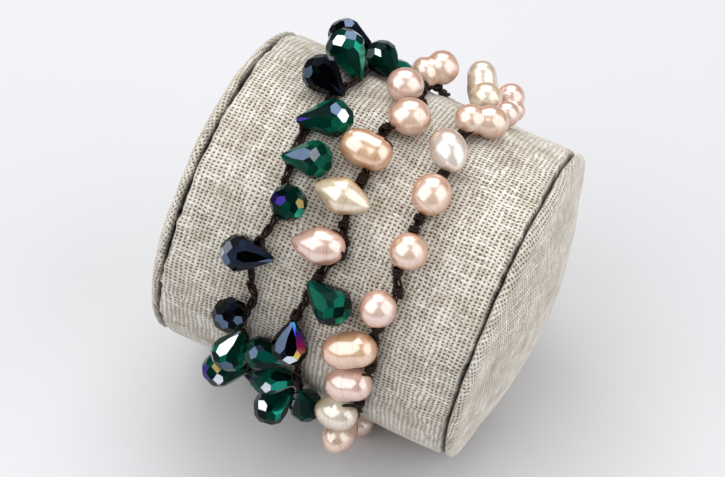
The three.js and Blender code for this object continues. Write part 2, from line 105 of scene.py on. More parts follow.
def add_node(
    tree: Any, kind: str, inputs: Optional[dict] = None, stops: Iterable[tuple] = (), **settings: Any
) -> Any:
    """Adds a node with its settings and links.

    Args:
        tree: the node tree.
        kind: the node's type name.
        inputs: what its inputs are fed with, as for feed.
        stops: places along a colour ramp and their sRGB hex colours, for a node that has one.
        **settings: the node's own properties.

    Returns:
        The new node.
    """
    node = tree.nodes.new(kind)
    for name, value in settings.items():
        setattr(node, name, value)
    feed(node, inputs or {})
    for index, (place, colour) in enumerate(stops):
        elements = node.color_ramp.elements
        element = elements[index] if index < len(elements) else elements.new(place)
        element.position = place
        element.color = linear(colour)
    return node


def new_material(name: str) -> tuple[bpy.types.Material, Callable[..., Any], Any]:
    """Makes an empty node material.

    Args:
        name: the material's name.

    Returns:
        The material, add_node for its tree, and its Principled node, linked to the output.
    """
    material = bpy.data.materials.new(name)
    material.use_nodes = True
    material.node_tree.nodes.clear()
    add = partial(add_node, material.node_tree)
    shader = add("ShaderNodeBsdfPrincipled")
    add("ShaderNodeOutputMaterial", {"Surface": shader})
    return material, add, shader


@dataclass(frozen=True)
class PlainWeaveLinen:
    """Undyed linen in plain weave, woven of uneven flax yarns.

    To the eye: a grid of pale grey-beige threads with painted shade in the pinholes between them, thick slubs,
    and a few tan flecks, quite matt.
    """

    name: str = "undyed_linen"
    around_mm: float = 0.7
    along_mm: float = 0.88
    thread_width: float = 0.84
    unevenness: float = 1.35
    crimp: float = 0.4
    relief_mm: float = 0.2
    # Colour of the painted shade in the gaps between the yarns.
    gap_shade: str = "#62523f"
    shade: str = "#c1b5a3"
    light: str = "#f7f3ea"
    stain: str = "#a99b82"
    fleck: str = "#8f744f"
    # Colour of the painted shadow in the seam's groove.
    seam: str = "#1c1410"

    def yarns(self, add: Callable[..., Any], across: Any, along: Any, lead: float) -> tuple[Any, Any]:
        """Adds one set of parallel yarns.

        Args:
            add: add_node for the material's tree.
            across: coordinate across the yarns, in yarns.
            along: coordinate along them, in yarns of the other set.
            lead: 1 or -1, whether the first yarn starts over or under.

        Returns:
            The yarns' height over the cloth, 0 between them, and the shade of each.
        """
        order = add(MATH, {0: across}, operation="FLOOR")
        number = add(MATH, {0: order, 1: 3.7}, operation="MULTIPLY")
        slow = add(MATH, {0: along, 1: 0.16}, operation="MULTIPLY")
        spot = add(COMBINE, {"X": number, "Y": slow, "Z": lead * 9.0})
        uneven = add(NOISE, {"Vector": spot, "Scale": 1.0, "Detail": 2.0})
        widest = 0.5 - self.thread_width / 2 + self.unevenness / 4
        rim = add(MATH, {0: uneven, 1: -self.unevenness / 2, 2: widest}, operation="MULTIPLY_ADD")
        near = add(MATH, {0: across, 1: 0.5}, operation="PINGPONG")
        profile = add(RANGE, {"Value": near, "From Min": rim, "From Max": 0.5}, interpolation_type="SMOOTHSTEP")
        angle = add(MATH, {0: along, 1: math.pi}, operation="MULTIPLY")
        swing = add(MATH, {0: angle}, operation="SINE")
        count = add(MATH, {0: order, 1: math.pi}, operation="MULTIPLY")
        side = add(MATH, {0: count}, operation="COSINE")
        over = add(MATH, {0: swing, 1: side}, operation="MULTIPLY")
        lift = add(MATH, {0: over, 1: lead * self.crimp, 2: 1.0 - self.crimp}, operation="MULTIPLY_ADD")
        return add(MATH, {0: profile, 1: lift}, operation="MULTIPLY"), uneven

    def build(self) -> bpy.types.Material:
        """Builds the cloth material, which reads the piece's UV map in millimetres.

        Returns:
            The material.
        """
        material, add, shader = new_material(self.name)
        paint = partial(add, MIX, data_type="RGBA")
        uv = add(UV_MAP, uv_map="cloth")
        drift = add(NOISE, {"Vector": uv, "Scale": 0.22, "Detail": 2.0}).outputs["Color"]
        offset = add(VECTOR_MATH, {0: drift, 1: (0.5, 0.5, 0.5)}, operation="SUBTRACT")
        moved = add(VECTOR_MATH, {0: offset, 1: (1.3, 1.3, 0.0), 2: uv}, operation="MULTIPLY_ADD")
        counted = add(VECTOR_MATH, {0: moved, 1: (self.around_mm, self.along_mm, 1.0)}, operation="DIVIDE")
        across, along, _ = add(SPLIT, {0: counted}).outputs
        first, first_shade = self.yarns(add, across, along, 1.0)
        second, second_shade = self.yarns(add, along, across, -1.0)
        top = add(MATH, {0: first, 1: second}, operation="MAXIMUM")
        shows_first = add(MATH, {0: first, 1: second}, operation="GREATER_THAN")
        tint = add(MIX, {0: shows_first, 2: second_shade, 3: first_shade})
        fibre = add(NOISE, {"Vector": uv, "Scale": 5.0, "Detail": 3.0, "Roughness": 0.7})
        mottle = add(MATH, {0: fibre, 1: tint}, operation="ADD")
        brightness = add(MATH, {0: mottle, 1: 0.55}, operation="MULTIPLY")
        yarn = add(RAMP, {"Fac": brightness}, stops=((0.36, self.shade), (0.66, self.light)))
        patches = add(NOISE, {"Vector": uv, "Scale": 0.16, "Detail": 3.0, "Roughness": 0.6})
        patch = add(RANGE, {"Value": patches, "From Min": 0.46, "From Max": 0.7, "To Max": 0.5})
        stained = paint({0: patch, 6: yarn, 7: linear(self.stain)}).outputs[2]
        flecks = add(NOISE, {"Vector": uv, "Scale": 0.9, "Detail": 2.0, "Roughness": 0.6})
        fleck = add(RANGE, {"Value": flecks, "From Min": 0.64, "From Max": 0.74, "To Max": 0.7})
        flecked = paint({0: fleck, 6: stained, 7: linear(self.fleck)}).outputs[2]
        # Painted shade in the gaps: darker where the yarns lie low between one another.
        unshaded = add(RANGE, {"Value": top, "From Min": 0.0, "From Max": 0.44})
        # Seen at a slant, the yarns hide the gaps between them, so the painted gap shade fades.
        slant = add(FACING, {"Blend": 0.5}).outputs["Facing"]
        hidden = add(RANGE, {"Value": slant, "From Min": 0.5, "From Max": 0.95, "To Max": 0.85})
        unshaded = add(MATH, {0: unshaded, 1: hidden}, operation="MAXIMUM")
        cloth = paint({0: unshaded, 6: linear(self.gap_shade), 7: flecked}).outputs[2]
        # The groove attribute carries a painted shadow along the seams, in the seam colour.
        groove = add(ATTRIBUTE, attribute_name="groove").outputs["Fac"]
        sewn = paint({0: groove, 6: cloth, 7: linear(self.seam)}).outputs[2]
        fuzz = add(MATH, {0: fibre, 1: 0.25, 2: top}, operation="MULTIPLY_ADD")
        bump = add(BUMP, {"Height": fuzz, "Strength": 0.55, "Distance": self.relief_mm * MM})
        feed(shader, {"Base Color": sewn, "Roughness": 0.92, "Specular IOR Level": 0.25, "Normal": bump})
        feed(shader, {"Sheen Weight": 0.12, "Sheen Roughness": 0.5})
        return material


class PearlTone(Enum):
    """Body colours of freshwater pearls: towards the eye, and round the rim, where the deeper colour is a
    painted rim shade.
    """

    PEACH = ("#f4d2b9", "#c27643")
    CREAM = ("#f3e1c4", "#c0975c")
    SILVER = ("#ece2d9", "#bd9070")
    PINK = ("#f3d1c0", "#bc7150")
    APRICOT = ("#f2c69d", "#bb682c")
    IVORY = ("#f0e5d0", "#b99562")


@dataclass(frozen=True)
class Nacre:
    """Freshwater pearl nacre, grown in thin layers and lightly polished.

    To the eye: a deep satin gloss with a glow from below it, a warmer, deeper colour painted towards the rim as
    rim shade, and faint growth rings round the long axis.
    """

    tone: PearlTone
    ring_mm: float = 0.9

    def build(self) -> bpy.types.Material:
        """Builds the pearl material, whose rings follow the piece's own UV map.

        Returns:
            The material.
        """
        face, rim = self.tone.value
        material, add, shader = new_material(f"nacre_{self.tone.name.lower()}")
        place = add(COORDINATES).outputs["Object"]
        cloudy = add(NOISE, {"Vector": place, "Scale": 260.0, "Detail": 2.0})
        # Painted rim shade: towards the rim, as the camera sees it, the colour turns warmer and deeper.
        edge = add(FACING, {"Blend": 0.42}).outputs["Facing"]
        depth = add(MATH, {0: cloudy, 1: 0.3, 2: edge}, operation="MULTIPLY_ADD")
        body = add(RAMP, {"Fac": depth}, stops=((0.25, face), (0.95, rim)))
        along = add(SPLIT, {0: add(UV_MAP, uv_map="growth")}).outputs["Y"]
        ring = add(MATH, {0: along, 1: self.ring_mm}, operation="DIVIDE")
        rings = add(NOISE, {"Vector": add(COMBINE, {"Y": ring}), "Scale": 1.0, "Detail": 3.0})
        # Fine growth lines stand where the ring noise crosses its middle.
        from_middle = add(MATH, {0: rings, 1: 0.5}, operation="SUBTRACT")
        distance = add(MATH, {0: from_middle}, operation="ABSOLUTE")
        line = add(RANGE, {"Value": distance, "From Max": 0.016, "To Min": 0.5, "To Max": 0.0})
        lined = add(MIX, {0: line, 6: body, 7: linear(rim)}, data_type="RGBA").outputs[2]
        bump = add(BUMP, {"Height": rings, "Strength": 0.45, "Distance": 0.12 * MM})
        feed(shader, {"Base Color": lined, "Roughness": 0.3, "IOR": 1.6, "Normal": bump})
        feed(shader, {"Coat Weight": 1.0, "Coat IOR": 3.4, "Coat Roughness": 0.2, "Subsurface Weight": 0.2})
        feed(shader, {"Subsurface Radius": (1.0, 0.55, 0.35), "Subsurface Scale": 1.0 * MM})
        return material


class CrystalTone(Enum):
    """Body colours of the cut glass drops: facets in painted shade, common ones, and facets painted as lit."""

    EMERALD = ("#021d17", "#064a39", "#178a70")
    DEEP_GREEN = ("#02130f", "#042e24", "#0f5f4d")
    JET = ("#020203", "#050508", "#232a3c")


class FacetFilm(Enum):
    """Mirror films on single facets of a drop that paint its flashes: the tint, or the bands of a rainbow."""

    SILVER = ("#dbe4ee", "#dbe4ee")
    STEEL = ("#55667e", "#55667e")
    VIOLET = ("#34247a", "#34247a")
    TEAL = ("#14907a", "#14907a")
    GOLD = ("#8b7c4c", "#8b7c4c")
    RAINBOW = ("#e8d34a", "#c2338f", "#3a2bc4", "#23b6c9", "#e8d34a")


@dataclass(frozen=True)
class CutGlass:
    """Machine-cut coloured glass with a fire-polished skin.

    To the eye: dark, clear depth, with facets painted dark or lit at random, and single facets whose films
    flash white or blue-grey.
    """

    tone: CrystalTone

    def build(self) -> bpy.types.Material:
        """Builds the glass material.

        Returns:
            The material.
        """
        material, add, shader = new_material(f"cut_glass_{self.tone.name.lower()}")
        depth = add(NOISE, {"Vector": add(COORDINATES).outputs["Object"], "Scale": 330.0, "Detail": 1.0})
        # Painted light on the facets: each facet draws a random share, from painted shade to a painted glint.
        facet = add(ATTRIBUTE, attribute_name="facet").outputs["Fac"]
        glint = add(MIX, {0: 0.3, 2: facet, 3: depth})
        body = add(RAMP, {"Fac": glint}, stops=zip((0.2, 0.6, 0.9), self.tone.value))
        clear = 0.0 if self.tone is CrystalTone.JET else 0.5
        feed(shader, {"Base Color": body, "Roughness": 0.04, "IOR": 1.5, "Transmission Weight": clear})
        feed(shader, {"Specular IOR Level": 0.16, "Specular Tint": linear("#4a6f74")})
        return material


@dataclass(frozen=True)
class FlashFilm:
    """A thin metal mirror film on one facet of a cut glass drop, laid where the drop flashes: a painted flash
    colour that shines by real mirror reflection.

    To the eye: a mirror tinted silver, steel blue, violet or teal, or banded like a rainbow.
    """

    film: FacetFilm
    band_mm: float = 3.4

    def build(self) -> bpy.types.Material:
        """Builds the film, whose tint shifts across the piece in its own place.

        Returns:
            The material.
        """
        material, add, shader = new_material(f"flash_film_{self.film.name.lower()}")
        place = add(COORDINATES).outputs["Object"]
        turned = add("ShaderNodeMapping", {"Vector": place, "Rotation": (0.5, 0.7, 0.3)})
        bands = add(MATH, {0: add(SPLIT, {0: turned}), 1: self.band_mm * MM}, operation="DIVIDE")
        band = add(MATH, {0: bands}, operation="FRACT")
        tints = self.film.value
        stops = ((index / (len(tints) - 1), tint) for index, tint in enumerate(tints))
        film = add(RAMP, {"Fac": band}, stops=stops)
        speckle = add(NOISE, {"Vector": place, "Scale": 700.0, "Detail": 2.0})
        speckled = add(MATH, {0: speckle, 1: 0.3, 2: 0.8}, operation="MULTIPLY_ADD")
        tinted = add(VECTOR_MATH, {0: film, "Scale": speckled}, operation="SCALE")
        feed(shader, {"Base Color": tinted, "Metallic": 0.85, "Roughness": 0.12})
        return material


@dataclass(frozen=True)
class WaxedThread:
    """Dark brown waxed linen thread, plied and crocheted.

    To the eye: near black brown, painted lighter on the crests of the twist and darker between them as light
    and shade.
    """

    name: str = "waxed_thread"
    ply_mm: float = 0.55

    def build(self) -> bpy.types.Material:
        """Builds the thread material, whose twist follows the strand's UV map.

        Returns:
            The material.
        """
        material, add, shader = new_material(self.name)
        along, around, _ = add(SPLIT, {0: add(UV_MAP, uv_map="strand")}).outputs
        turns = add(MATH, {0: along, 1: 2.0 * math.pi / self.ply_mm}, operation="MULTIPLY")
        slant = add(MATH, {0: around, 1: 4.0 * math.pi, 2: turns}, operation="MULTIPLY_ADD")
        twist = add(MATH, {0: slant}, operation="SINE")
        # Painted light and shade on the ply: lighter on the twist's crests, darker in its grooves.
        shade = add(MATH, {0: twist, 1: 0.5, 2: 0.5}, operation="MULTIPLY_ADD")
        colour = add(RAMP, {"Fac": shade}, stops=((0.0, "#0a0504"), (0.6, "#1e110d"), (1.0, "#40271e")))
        bump = add(BUMP, {"Height": twist, "Strength": 0.5, "Distance": 0.08 * MM})
        feed(shader, {"Base Color": colour, "Roughness": 0.55, "Specular IOR Level": 0.25, "Normal": bump})
        return material


@dataclass(frozen=True)
class SatinBrass:
    """Turned brass, tumbled to a satin.

    To the eye: warm yellow metal with soft reflections and a fine turned grain.
    """

    name: str = "satin_brass"

    def build(self) -> bpy.types.Material:
        """Builds the brass material.

        Returns:
            The material.
        """
        material, add, shader = new_material(self.name)
        grain = add(NOISE, {"Vector": add(COORDINATES).outputs["Object"], "Scale": 900.0, "Detail": 2.0})
        colour = add(RAMP, {"Fac": grain}, stops=((0.3, "#a8823c"), (0.7, "#c9a35a")))
        feed(shader, {"Base Color": colour, "Metallic": 1.0, "Roughness": 0.32})
        return material


@dataclass(frozen=True)
class SweepPaper:
    """Matt white background paper.

    To the eye: an even, bright, faintly cool white.
    """

    name: str = "sweep_paper"
    colour: str = "#dcdcdf"

    def build(self) -> bpy.types.Material:
        """Builds the paper material.

        Returns:
            The material.
        """
        material, _, shader = new_material(self.name)
        feed(shader, {"Base Color": linear(self.colour), "Roughness": 0.9})
        return material


@dataclass
class RollPose:
    """The roll's own frame: axis to the right, front towards -Y, leaning on its right rim."""

    radius: float = 31.0
    seam_to_seam: float = 58.4
    tilt_deg: float = 8.9
    foot_depth: float = 0.8
    origin: Vector = field(default_factory=Vector)

    def settle(self) -> None:
        """Finds the roll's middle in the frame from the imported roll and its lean."""
        low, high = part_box("roll_side")
        tilt = math.radians(self.tilt_deg)
        height = self.seam_to_seam / 2 * math.sin(tilt) + self.radius * math.cos(tilt) - self.foot_depth
        self.origin = Vector(((low[0] + high[0]) / 2, (low[1] + high[1]) / 2, height * MM))

    @property
    def matrix(self) -> Matrix:
        """From the roll's frame in millimetres to the row's frame in metres."""
        lean = Matrix.Rotation(math.radians(self.tilt_deg), 4, "Y")
        return Matrix.Translation(self.origin) @ lean @ Matrix.Scale(MM, 4)

    def outward(self, turn: float) -> Vector:
        """The direction off the linen at a turn angle, in the roll's frame."""
        return Vector((0.0, -math.cos(math.radians(turn)), math.sin(math.radians(turn))))

    def onward(self, turn: float) -> Vector:
        """The direction along the turn, in the roll's frame."""
        return self.outward(turn + 90.0)

    def beside(self, turn: float, station: float, height: float) -> Vector:
        """A point by turn angle, station and height over the linen, in the roll's frame."""
        return self.outward(turn) * (self.radius + height) + Vector((station, 0.0, 0.0))


def put(name: str, data: Any) -> bpy.types.Object:
    """Makes an object of a mesh, light or camera at the scene's origin.

    Args:
        name: the object's name.
        data: its mesh, light or camera.

    Returns:
        The object.
    """
    piece = bpy.data.objects.new(name, data)
    bpy.context.scene.collection.objects.link(piece)
    return piece


def finish_piece(
    name: str, mesh: bpy.types.Mesh, pose: RollPose, materials: Iterable = (), smooth: bool = True
) -> bpy.types.Object:
    """Places a mesh drawn in the roll's frame and makes it an object at the origin.

    Args:
        name: the piece's name.
        mesh: its mesh, in the roll's frame, in millimetres.
        pose: the roll's pose.
        materials: its materials, in slot order.
        smooth: whether its faces are shaded smooth.

    Returns:
        The new object.
    """
    mesh.transform(pose.matrix)
    for polygon in mesh.polygons:
        polygon.use_smooth = smooth
    for material in materials:
        mesh.materials.append(material)
    return put(name, mesh)


def mesh_from(build: bmesh.types.BMesh, name: str) -> bpy.types.Mesh:
    """Turns a BMesh into a mesh with its faces pointing out.

    Args:
        build: the BMesh, which is freed.
        name: the mesh's name.

    Returns:
        The mesh.
    """
    bmesh.ops.remove_doubles(build, verts=build.verts, dist=1e-5)
    bmesh.ops.recalc_face_normals(build, faces=build.faces)
    mesh = bpy.data.meshes.new(name)
    build.to_mesh(mesh)
    build.free()
    return mesh


def bridge(build: bmesh.types.BMesh, low: Sequence, high: Sequence, sides: int) -> Iterator[tuple[int, Any]]:
    """Joins two rings of points with faces; a ring of one point is a tip.

    Args:
        build: the BMesh.
        low: one ring's points.
        high: the other's.
        sides: how many faces go round.

    Yields:
        Each face's number and the face.
    """
    for side in range(sides):
        after = (side + 1) % sides
        corners = (low[side % len(low)], low[after % len(low)], high[after % len(high)], high[side % len(high)])
        yield side, build.faces.new(tuple(dict.fromkeys(corners)))


def join_meshes(name: str, pieces: Sequence[bpy.types.Object]) -> bpy.types.Object:
    """Joins objects at the origin into the first one.

    Args:
        name: the joined piece's name.
        pieces: the objects.

    Returns:
        The joined object.
    """
    with bpy.context.temp_override(active_object=pieces[0], selected_editable_objects=list(pieces)):
        bpy.ops.object.join()
    pieces[0].name = name
    return pieces[0]


def towards_camera(right: float, up: float) -> Vector:
    """The direction, seen from the camera, to a place on a ball's face given by shares right and up."""
    return Vector((right, up, math.sqrt(max(0.0, 1 - right * right - up * up))))


def corner_places(side: int, low: float, high: float) -> tuple[tuple[float, float], ...]:
    """Where the corners of a bridge's face lie: how far round, and its low or its high value."""
    return ((side, low), (side + 1, low), (side + 1, high), (side, high))


def register(piece: bpy.types.Object, node: str) -> None:
    """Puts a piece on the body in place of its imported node.

    Args:
        piece: the visual piece.
        node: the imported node's name.
    """
    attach(piece, "root")
    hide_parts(node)
    LOG.info("%s: %d faces", piece.name, len(piece.data.polygons))


# The cord's whole loop on the unrolled linen, clasp to clasp: turn in degrees, station in millimetres.
ROUTE = (
    (166, 3.6), (180, 0), (190, -4.2), (202, -8.4), (216, -12), (240, -13), (270, -12.4), (300, -12),
    (320, -10.6), (340, -9.8), (356, -10.7), (362, -12.1), (375, -10.9),
    (388, -13.1), (400, -12.3), (409, -11.5),
    (419, -13.2), (433, -14), (449, -12.9), (464, -11.6), (484, -11.4),
    (510, -11.6), (540, -10.8), (562, -8.2),
    (580, -6), (606, -4), (630, -2.5), (660, -0.6), (690, 0.4), (706, 0.2), (722, -0.4), (732, -2.5),
    (743, -1.5), (754, -0.5), (763, 1.5), (772, -0.3), (789, -0.7), (806, -1.5), (822, 1.9), (838, -1),
    (856, 0.2), (871, 1.3), (886, 5.3), (902, 8.4), (930, 9.4), (960, 9.4), (990, 9.2), (1020, 9.4),
    (1045, 10.4), (1064, 12.4), (1080, 13), (1093, 13.2), (1102, 12.2),
    (1117, 13.3), (1125, 11.8), (1141, 11.5),
    (1160, 11.6), (1182, 10.7), (1200, 11.4), (1216, 12), (1230, 10.6), (1241, 7.8), (1250, 4.6), (1260, 0),
)


@dataclass
class CordRoute:
    """The smooth line that the crocheted cord follows round the roll."""

    pose: RollPose
    cord_width: float = 1.6
    cord_gap: float = 0.3
    clasp_width: float = 5.0
    raised_at_start: int = 4
    raised_at_end: int = 3
    samples_per_span: int = 24
    turns: list[float] = field(default_factory=list)
    points: list[Vector] = field(default_factory=list)
    reach: list[float] = field(default_factory=list)
    stations: list[float] = field(default_factory=list)

    def height(self, index: int) -> float:
        """Height of the cord's centre over the linen, where it crosses the clasp or lies flat.

        Args:
            index: a route point's number.

        Returns:
            The height in millimetres.
        """
        lying = self.cord_gap + self.cord_width / 2
        over = max(lying + self.cord_width + self.cord_gap, self.clasp_width / 2 + self.cord_gap)
        return lying if self.raised_at_start <= index < len(ROUTE) - self.raised_at_end else over

    def trace(self) -> None:
        """Samples the route as a Catmull-Rom line and measures along it."""
        rows = [Vector((turn, station, self.height(index))) for index, (turn, station) in enumerate(ROUTE)]
        ends = [rows[0] * 2 - rows[1], *rows, rows[-1] * 2 - rows[-2]]
        for i in range(1, len(ends) - 2):
            before, start, stop, after = ends[i - 1 : i + 3]
            for k in range(self.samples_per_span):
                t = k / self.samples_per_span
                linear_part = (stop - before) * t
                square = (before * 2 - start * 5 + stop * 4 - after) * t * t
                cube = (start * 3 - before - stop * 3 + after) * t**3
                here = (start * 2 + linear_part + square + cube) * 0.5
                self.turns.append(here.x)
                self.stations.append(here.y)
                self.points.append(self.pose.beside(here.x, here.y, here.z))
        self.reach = [0.0]
        for near, far in zip(self.points, self.points[1:]):
            self.reach.append(self.reach[-1] + (far - near).length)

    def read(self, values: Sequence[float], turn: float) -> float:
        """A value kept along the route, where the route reaches a turn angle.

        Args:
            values: the value at each sample.
            turn: the angle in degrees, counted on from the route's start.

        Returns:
            The value there.
        """
        index = next(i for i, value in enumerate(self.turns) if value >= turn)
        share = (turn - self.turns[index - 1]) / (self.turns[index] - self.turns[index - 1])
        return values[index - 1] + share * (values[index] - values[index - 1])

    def at_turn(self, turn: float) -> float:
        """The length along the route where it reaches a turn angle, in millimetres."""
        return self.read(self.reach, turn)

    def station_at(self, turn: float) -> float:
        """The station where the route reaches a turn angle, in millimetres."""
        return self.read(self.stations, turn)

    def place(self, length: float) -> tuple[Vector, Vector, float]:
        """A place along the route.

        Args:
            length: the distance along it, in millimetres.

        Returns:
            The point, the unit direction and the turn angle there.
        """
        index = next((i for i, value in enumerate(self.reach) if value > length), len(self.reach) - 1)
        near, far = self.points[index - 1], self.points[index]
        share = (length - self.reach[index - 1]) / (self.reach[index] - self.reach[index - 1])
        turn = self.turns[index - 1] + share * (self.turns[index] - self.turns[index - 1])
        return near.lerp(far, share), (far - near).normalized(), turn


@dataclass(frozen=True)
class StrandPart:
    """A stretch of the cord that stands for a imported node."""

    node: str
    start_turn: float
    end_turn: float


class BeadForm(Enum):
    """Pearl forms: fullness of tail and head, groove depth, and the groove's place."""

    ROUND = (2.0, 2.0, 0.0, 0.5)
    EGG = (1.7, 2.2, 0.0, 0.5)
    CAPSULE = (2.5, 2.5, 0.05, 0.6)
    PEANUT = (2.4, 2.5, 0.2, 0.44)
    SPINDLE = (1.45, 1.4, 0.0, 0.5)
    DROP = (1.4, 2.2, 0.0, 0.5)


@dataclass(frozen=True)
class Bead:
    """A bead's tone, place and size: turn, station, heading, pitch, and length and width shares.

    The places of films and threads are shares to the right and up on the side that is seen.
    """

    name: str
    tone: Enum
    turn: float
    station: float
    heading: float
    pitch: float
    long: float
    wide: float
    form: BeadForm = BeadForm.ROUND
    films: tuple[tuple[FacetFilm, float, float], ...] = ()
    threads: tuple[tuple[float, float], ...] = ()

    @property
    def is_pearl(self) -> bool:
        """Whether it is a pearl and not a crystal drop."""
        return isinstance(self.tone, PearlTone)


def pearl(
    name: str, form: BeadForm, tone: PearlTone, *place: float, threads: Sequence[tuple[float, float]] = ()
) -> Bead:
    """A pearl that shows, with the places on its face where threads leave it."""
    return Bead(f"pearl_{name}", tone, *place, form=form, threads=tuple(threads))


def drop(name: str, tone: CrystalTone, films: Sequence[tuple[FacetFilm, float, float]], *place: float) -> Bead:
    """A crystal drop that shows, with the films on some of its facets."""
    return Bead(f"crystal_{name}", tone, *place, films=tuple(films))


PEARLS = (
    pearl("2_01", BeadForm.PEANUT, PearlTone.PEACH, 126, -0.8, 30, 35, 1.35, 1, threads=((-0.2, -0.9),)),
    pearl("2_02", BeadForm.ROUND, PearlTone.PINK, 105, -2.6, 20, 0, 1.04, 0.97),
    pearl("2_03", BeadForm.EGG, PearlTone.PEACH, 91, 1.6, 30, 0, 1.16, 1.03, threads=((-0.75, -0.55),)),
    pearl("2_04", BeadForm.CAPSULE, PearlTone.APRICOT, 74, -2, 0, 0, 1.4, 1, threads=((0.7, 0.5),)),
    pearl("2_05", BeadForm.SPINDLE, PearlTone.CREAM, 58, -2, 0, 0, 1.6, 1),
    pearl(
        "2_06", BeadForm.DROP, PearlTone.PINK, 42, -2.4, 14, 0, 1.45, 1,
        threads=((0.85, -0.2), (0.6, 0.75)),
    ),
    pearl("3_01", BeadForm.CAPSULE, PearlTone.IVORY, 134, 7.8, 180, 64, 1.36, 0.88),
    pearl("3_02", BeadForm.ROUND, PearlTone.CREAM, 124, 10.33, 0, 0, 0.92, 0.9),
    pearl("3_03", BeadForm.PEANUT, PearlTone.PINK, 134, 14.2, 150, 55, 1.1, 0.82),
    pearl("3_04", BeadForm.ROUND, PearlTone.PINK, 119, 15.4, 0, 0, 0.72, 0.72),
    pearl("3_05", BeadForm.PEANUT, PearlTone.PEACH, 104, 12.9, 30, 0, 1.48, 0.93, threads=((-0.5, -0.6),)),
    pearl("3_06", BeadForm.EGG, PearlTone.SILVER, 85, 11, 133, 0, 1.32, 1, threads=((-0.1, -0.95),)),
    pearl("3_07", BeadForm.ROUND, PearlTone.PEACH, 69, 12, 90, 0, 1.12, 1.04),
    pearl("3_08", BeadForm.ROUND, PearlTone.PEACH, 51, 12.6, 0, 0, 1, 0.98),
    pearl("3_09", BeadForm.ROUND, PearlTone.PINK, 32, 11.5, 60, 0, 1, 0.98),
    pearl(
        "3_10", BeadForm.CAPSULE, PearlTone.APRICOT, 16, 9.2, 30, 0, 1.48, 1,
        threads=((0.9, 0.35), (0.75, -0.6)),
    ),
    pearl("3_11", BeadForm.CAPSULE, PearlTone.PINK, 3, 10.7, 30, 0, 1.3, 0.94, threads=((0.5, 0.45),)),
    pearl("3_12", BeadForm.EGG, PearlTone.IVORY, 345, 9.2, 20, 0, 1.28, 0.97, threads=((0.3, 0.4),)),
    pearl("3_13", BeadForm.ROUND, PearlTone.PEACH, 325, 9.7, 90, 60, 1.3, 0.95),
)

SILVER, STEEL, VIOLET = FacetFilm.SILVER, FacetFilm.STEEL, FacetFilm.VIOLET
TEAL, GOLD, RAINBOW = FacetFilm.TEAL, FacetFilm.GOLD, FacetFilm.RAINBOW
EMERALD, DEEP, JET = CrystalTone.EMERALD, CrystalTone.DEEP_GREEN, CrystalTone.JET

CRYSTALS = (
    drop(
        "1_01", EMERALD, ((SILVER, -0.4, 0.5), (STEEL, 0.3, 0.6), (TEAL, 0.8, 0)),
        107, -14.4, 163, 40, 1.55, 1.06,
    ),
    drop("1_02", JET, ((STEEL, 0, 0.8),), 125, -17.2, 180, 5, 1.45, 1),
    drop("1_03", DEEP, ((SILVER, -0.4, 0.1), (TEAL, 0.6, -0.4)), 118, -9.2, 150, 20, 1.35, 0.94),
    drop("1_04", JET, ((STEEL, -0.7, 0.2),), 92, -15, 153, 0, 1.5, 1.02),
    drop(
        "1_05", EMERALD, ((VIOLET, -0.8, 0.1), (STEEL, 0, 0.55), (SILVER, 0.55, 0.3), (TEAL, 0.5, -0.3)),
        78, -11.3, 31, 0, 1.52, 1,
    ),
    drop(
        "1_06", EMERALD, ((STEEL, -0.5, 0.3), (SILVER, 0.1, 0.4), (TEAL, 0.2, -0.7)),
        64, -10.6, 18, 0, 1.35, 1,
    ),
    drop(
        "1_07", DEEP, ((VIOLET, -0.6, 0.2), (GOLD, 0.6, 0.1), (TEAL, 0.6, -0.5)),
        49, -10, 60, 65, 1.35, 0.95,
    ),
    drop(
        "1_08", JET, ((SILVER, -0.8, 0.2), (STEEL, -0.6, -0.5), (STEEL, 0.4, -0.5)),
        31, -13.6, 194, 0, 1.45, 0.97,
    ),
    drop("1_09", JET, ((STEEL, 0.5, -0.2), (STEEL, -0.4, -0.4)), 10, -13.3, 75, 50, 1.35, 0.94),
    drop(
        "1_10", EMERALD, ((SILVER, -0.3, 0.4), (STEEL, 0.1, -0.5), (TEAL, 0.6, 0.1)),
        354, -12.2, 255, 25, 1.35, 1,
    ),
    drop(
        "1_11", EMERALD, ((VIOLET, -0.8, -0.2), (GOLD, -0.3, 0.1), (SILVER, 0.1, -0.5)),
        337, -13.4, 180, 30, 1.42, 0.98,
    ),
    drop("2_07", EMERALD, ((TEAL, 0.5, -0.6),), 28, 2.6, 337, 0, 1.42, 1.05),
    drop(
        "2_08", JET, ((STEEL, -0.5, 0.1), (RAINBOW, 0.45, -0.05), (SILVER, -0.05, -0.5)),
        10, -1.5, 277, 0, 1.4, 0.98,
    ),
    drop("2_09", DEEP, ((STEEL, -0.2, 0.3), (TEAL, 0.3, -0.3)), 359, -5.3, 190, 0, 1.28, 0.92),
    drop(
        "2_10", EMERALD, ((STEEL, -0.6, 0.3), (SILVER, -0.2, -0.5), (TEAL, 0.4, -0.2)),
        346, -3.4, 180, 26, 1.4, 0.88,
    ),
    drop(
        "2_11", DEEP, ((STEEL, -0.3, 0.5), (SILVER, -0.5, 0), (TEAL, 0.5, -0.2)),
        326, -3.6, 200, 60, 1.35, 0.98,
    ),
    drop("2_12", DEEP, ((TEAL, 0.1, 0.2),), 341, 2.8, 280, 0, 1.35, 0.92),
)


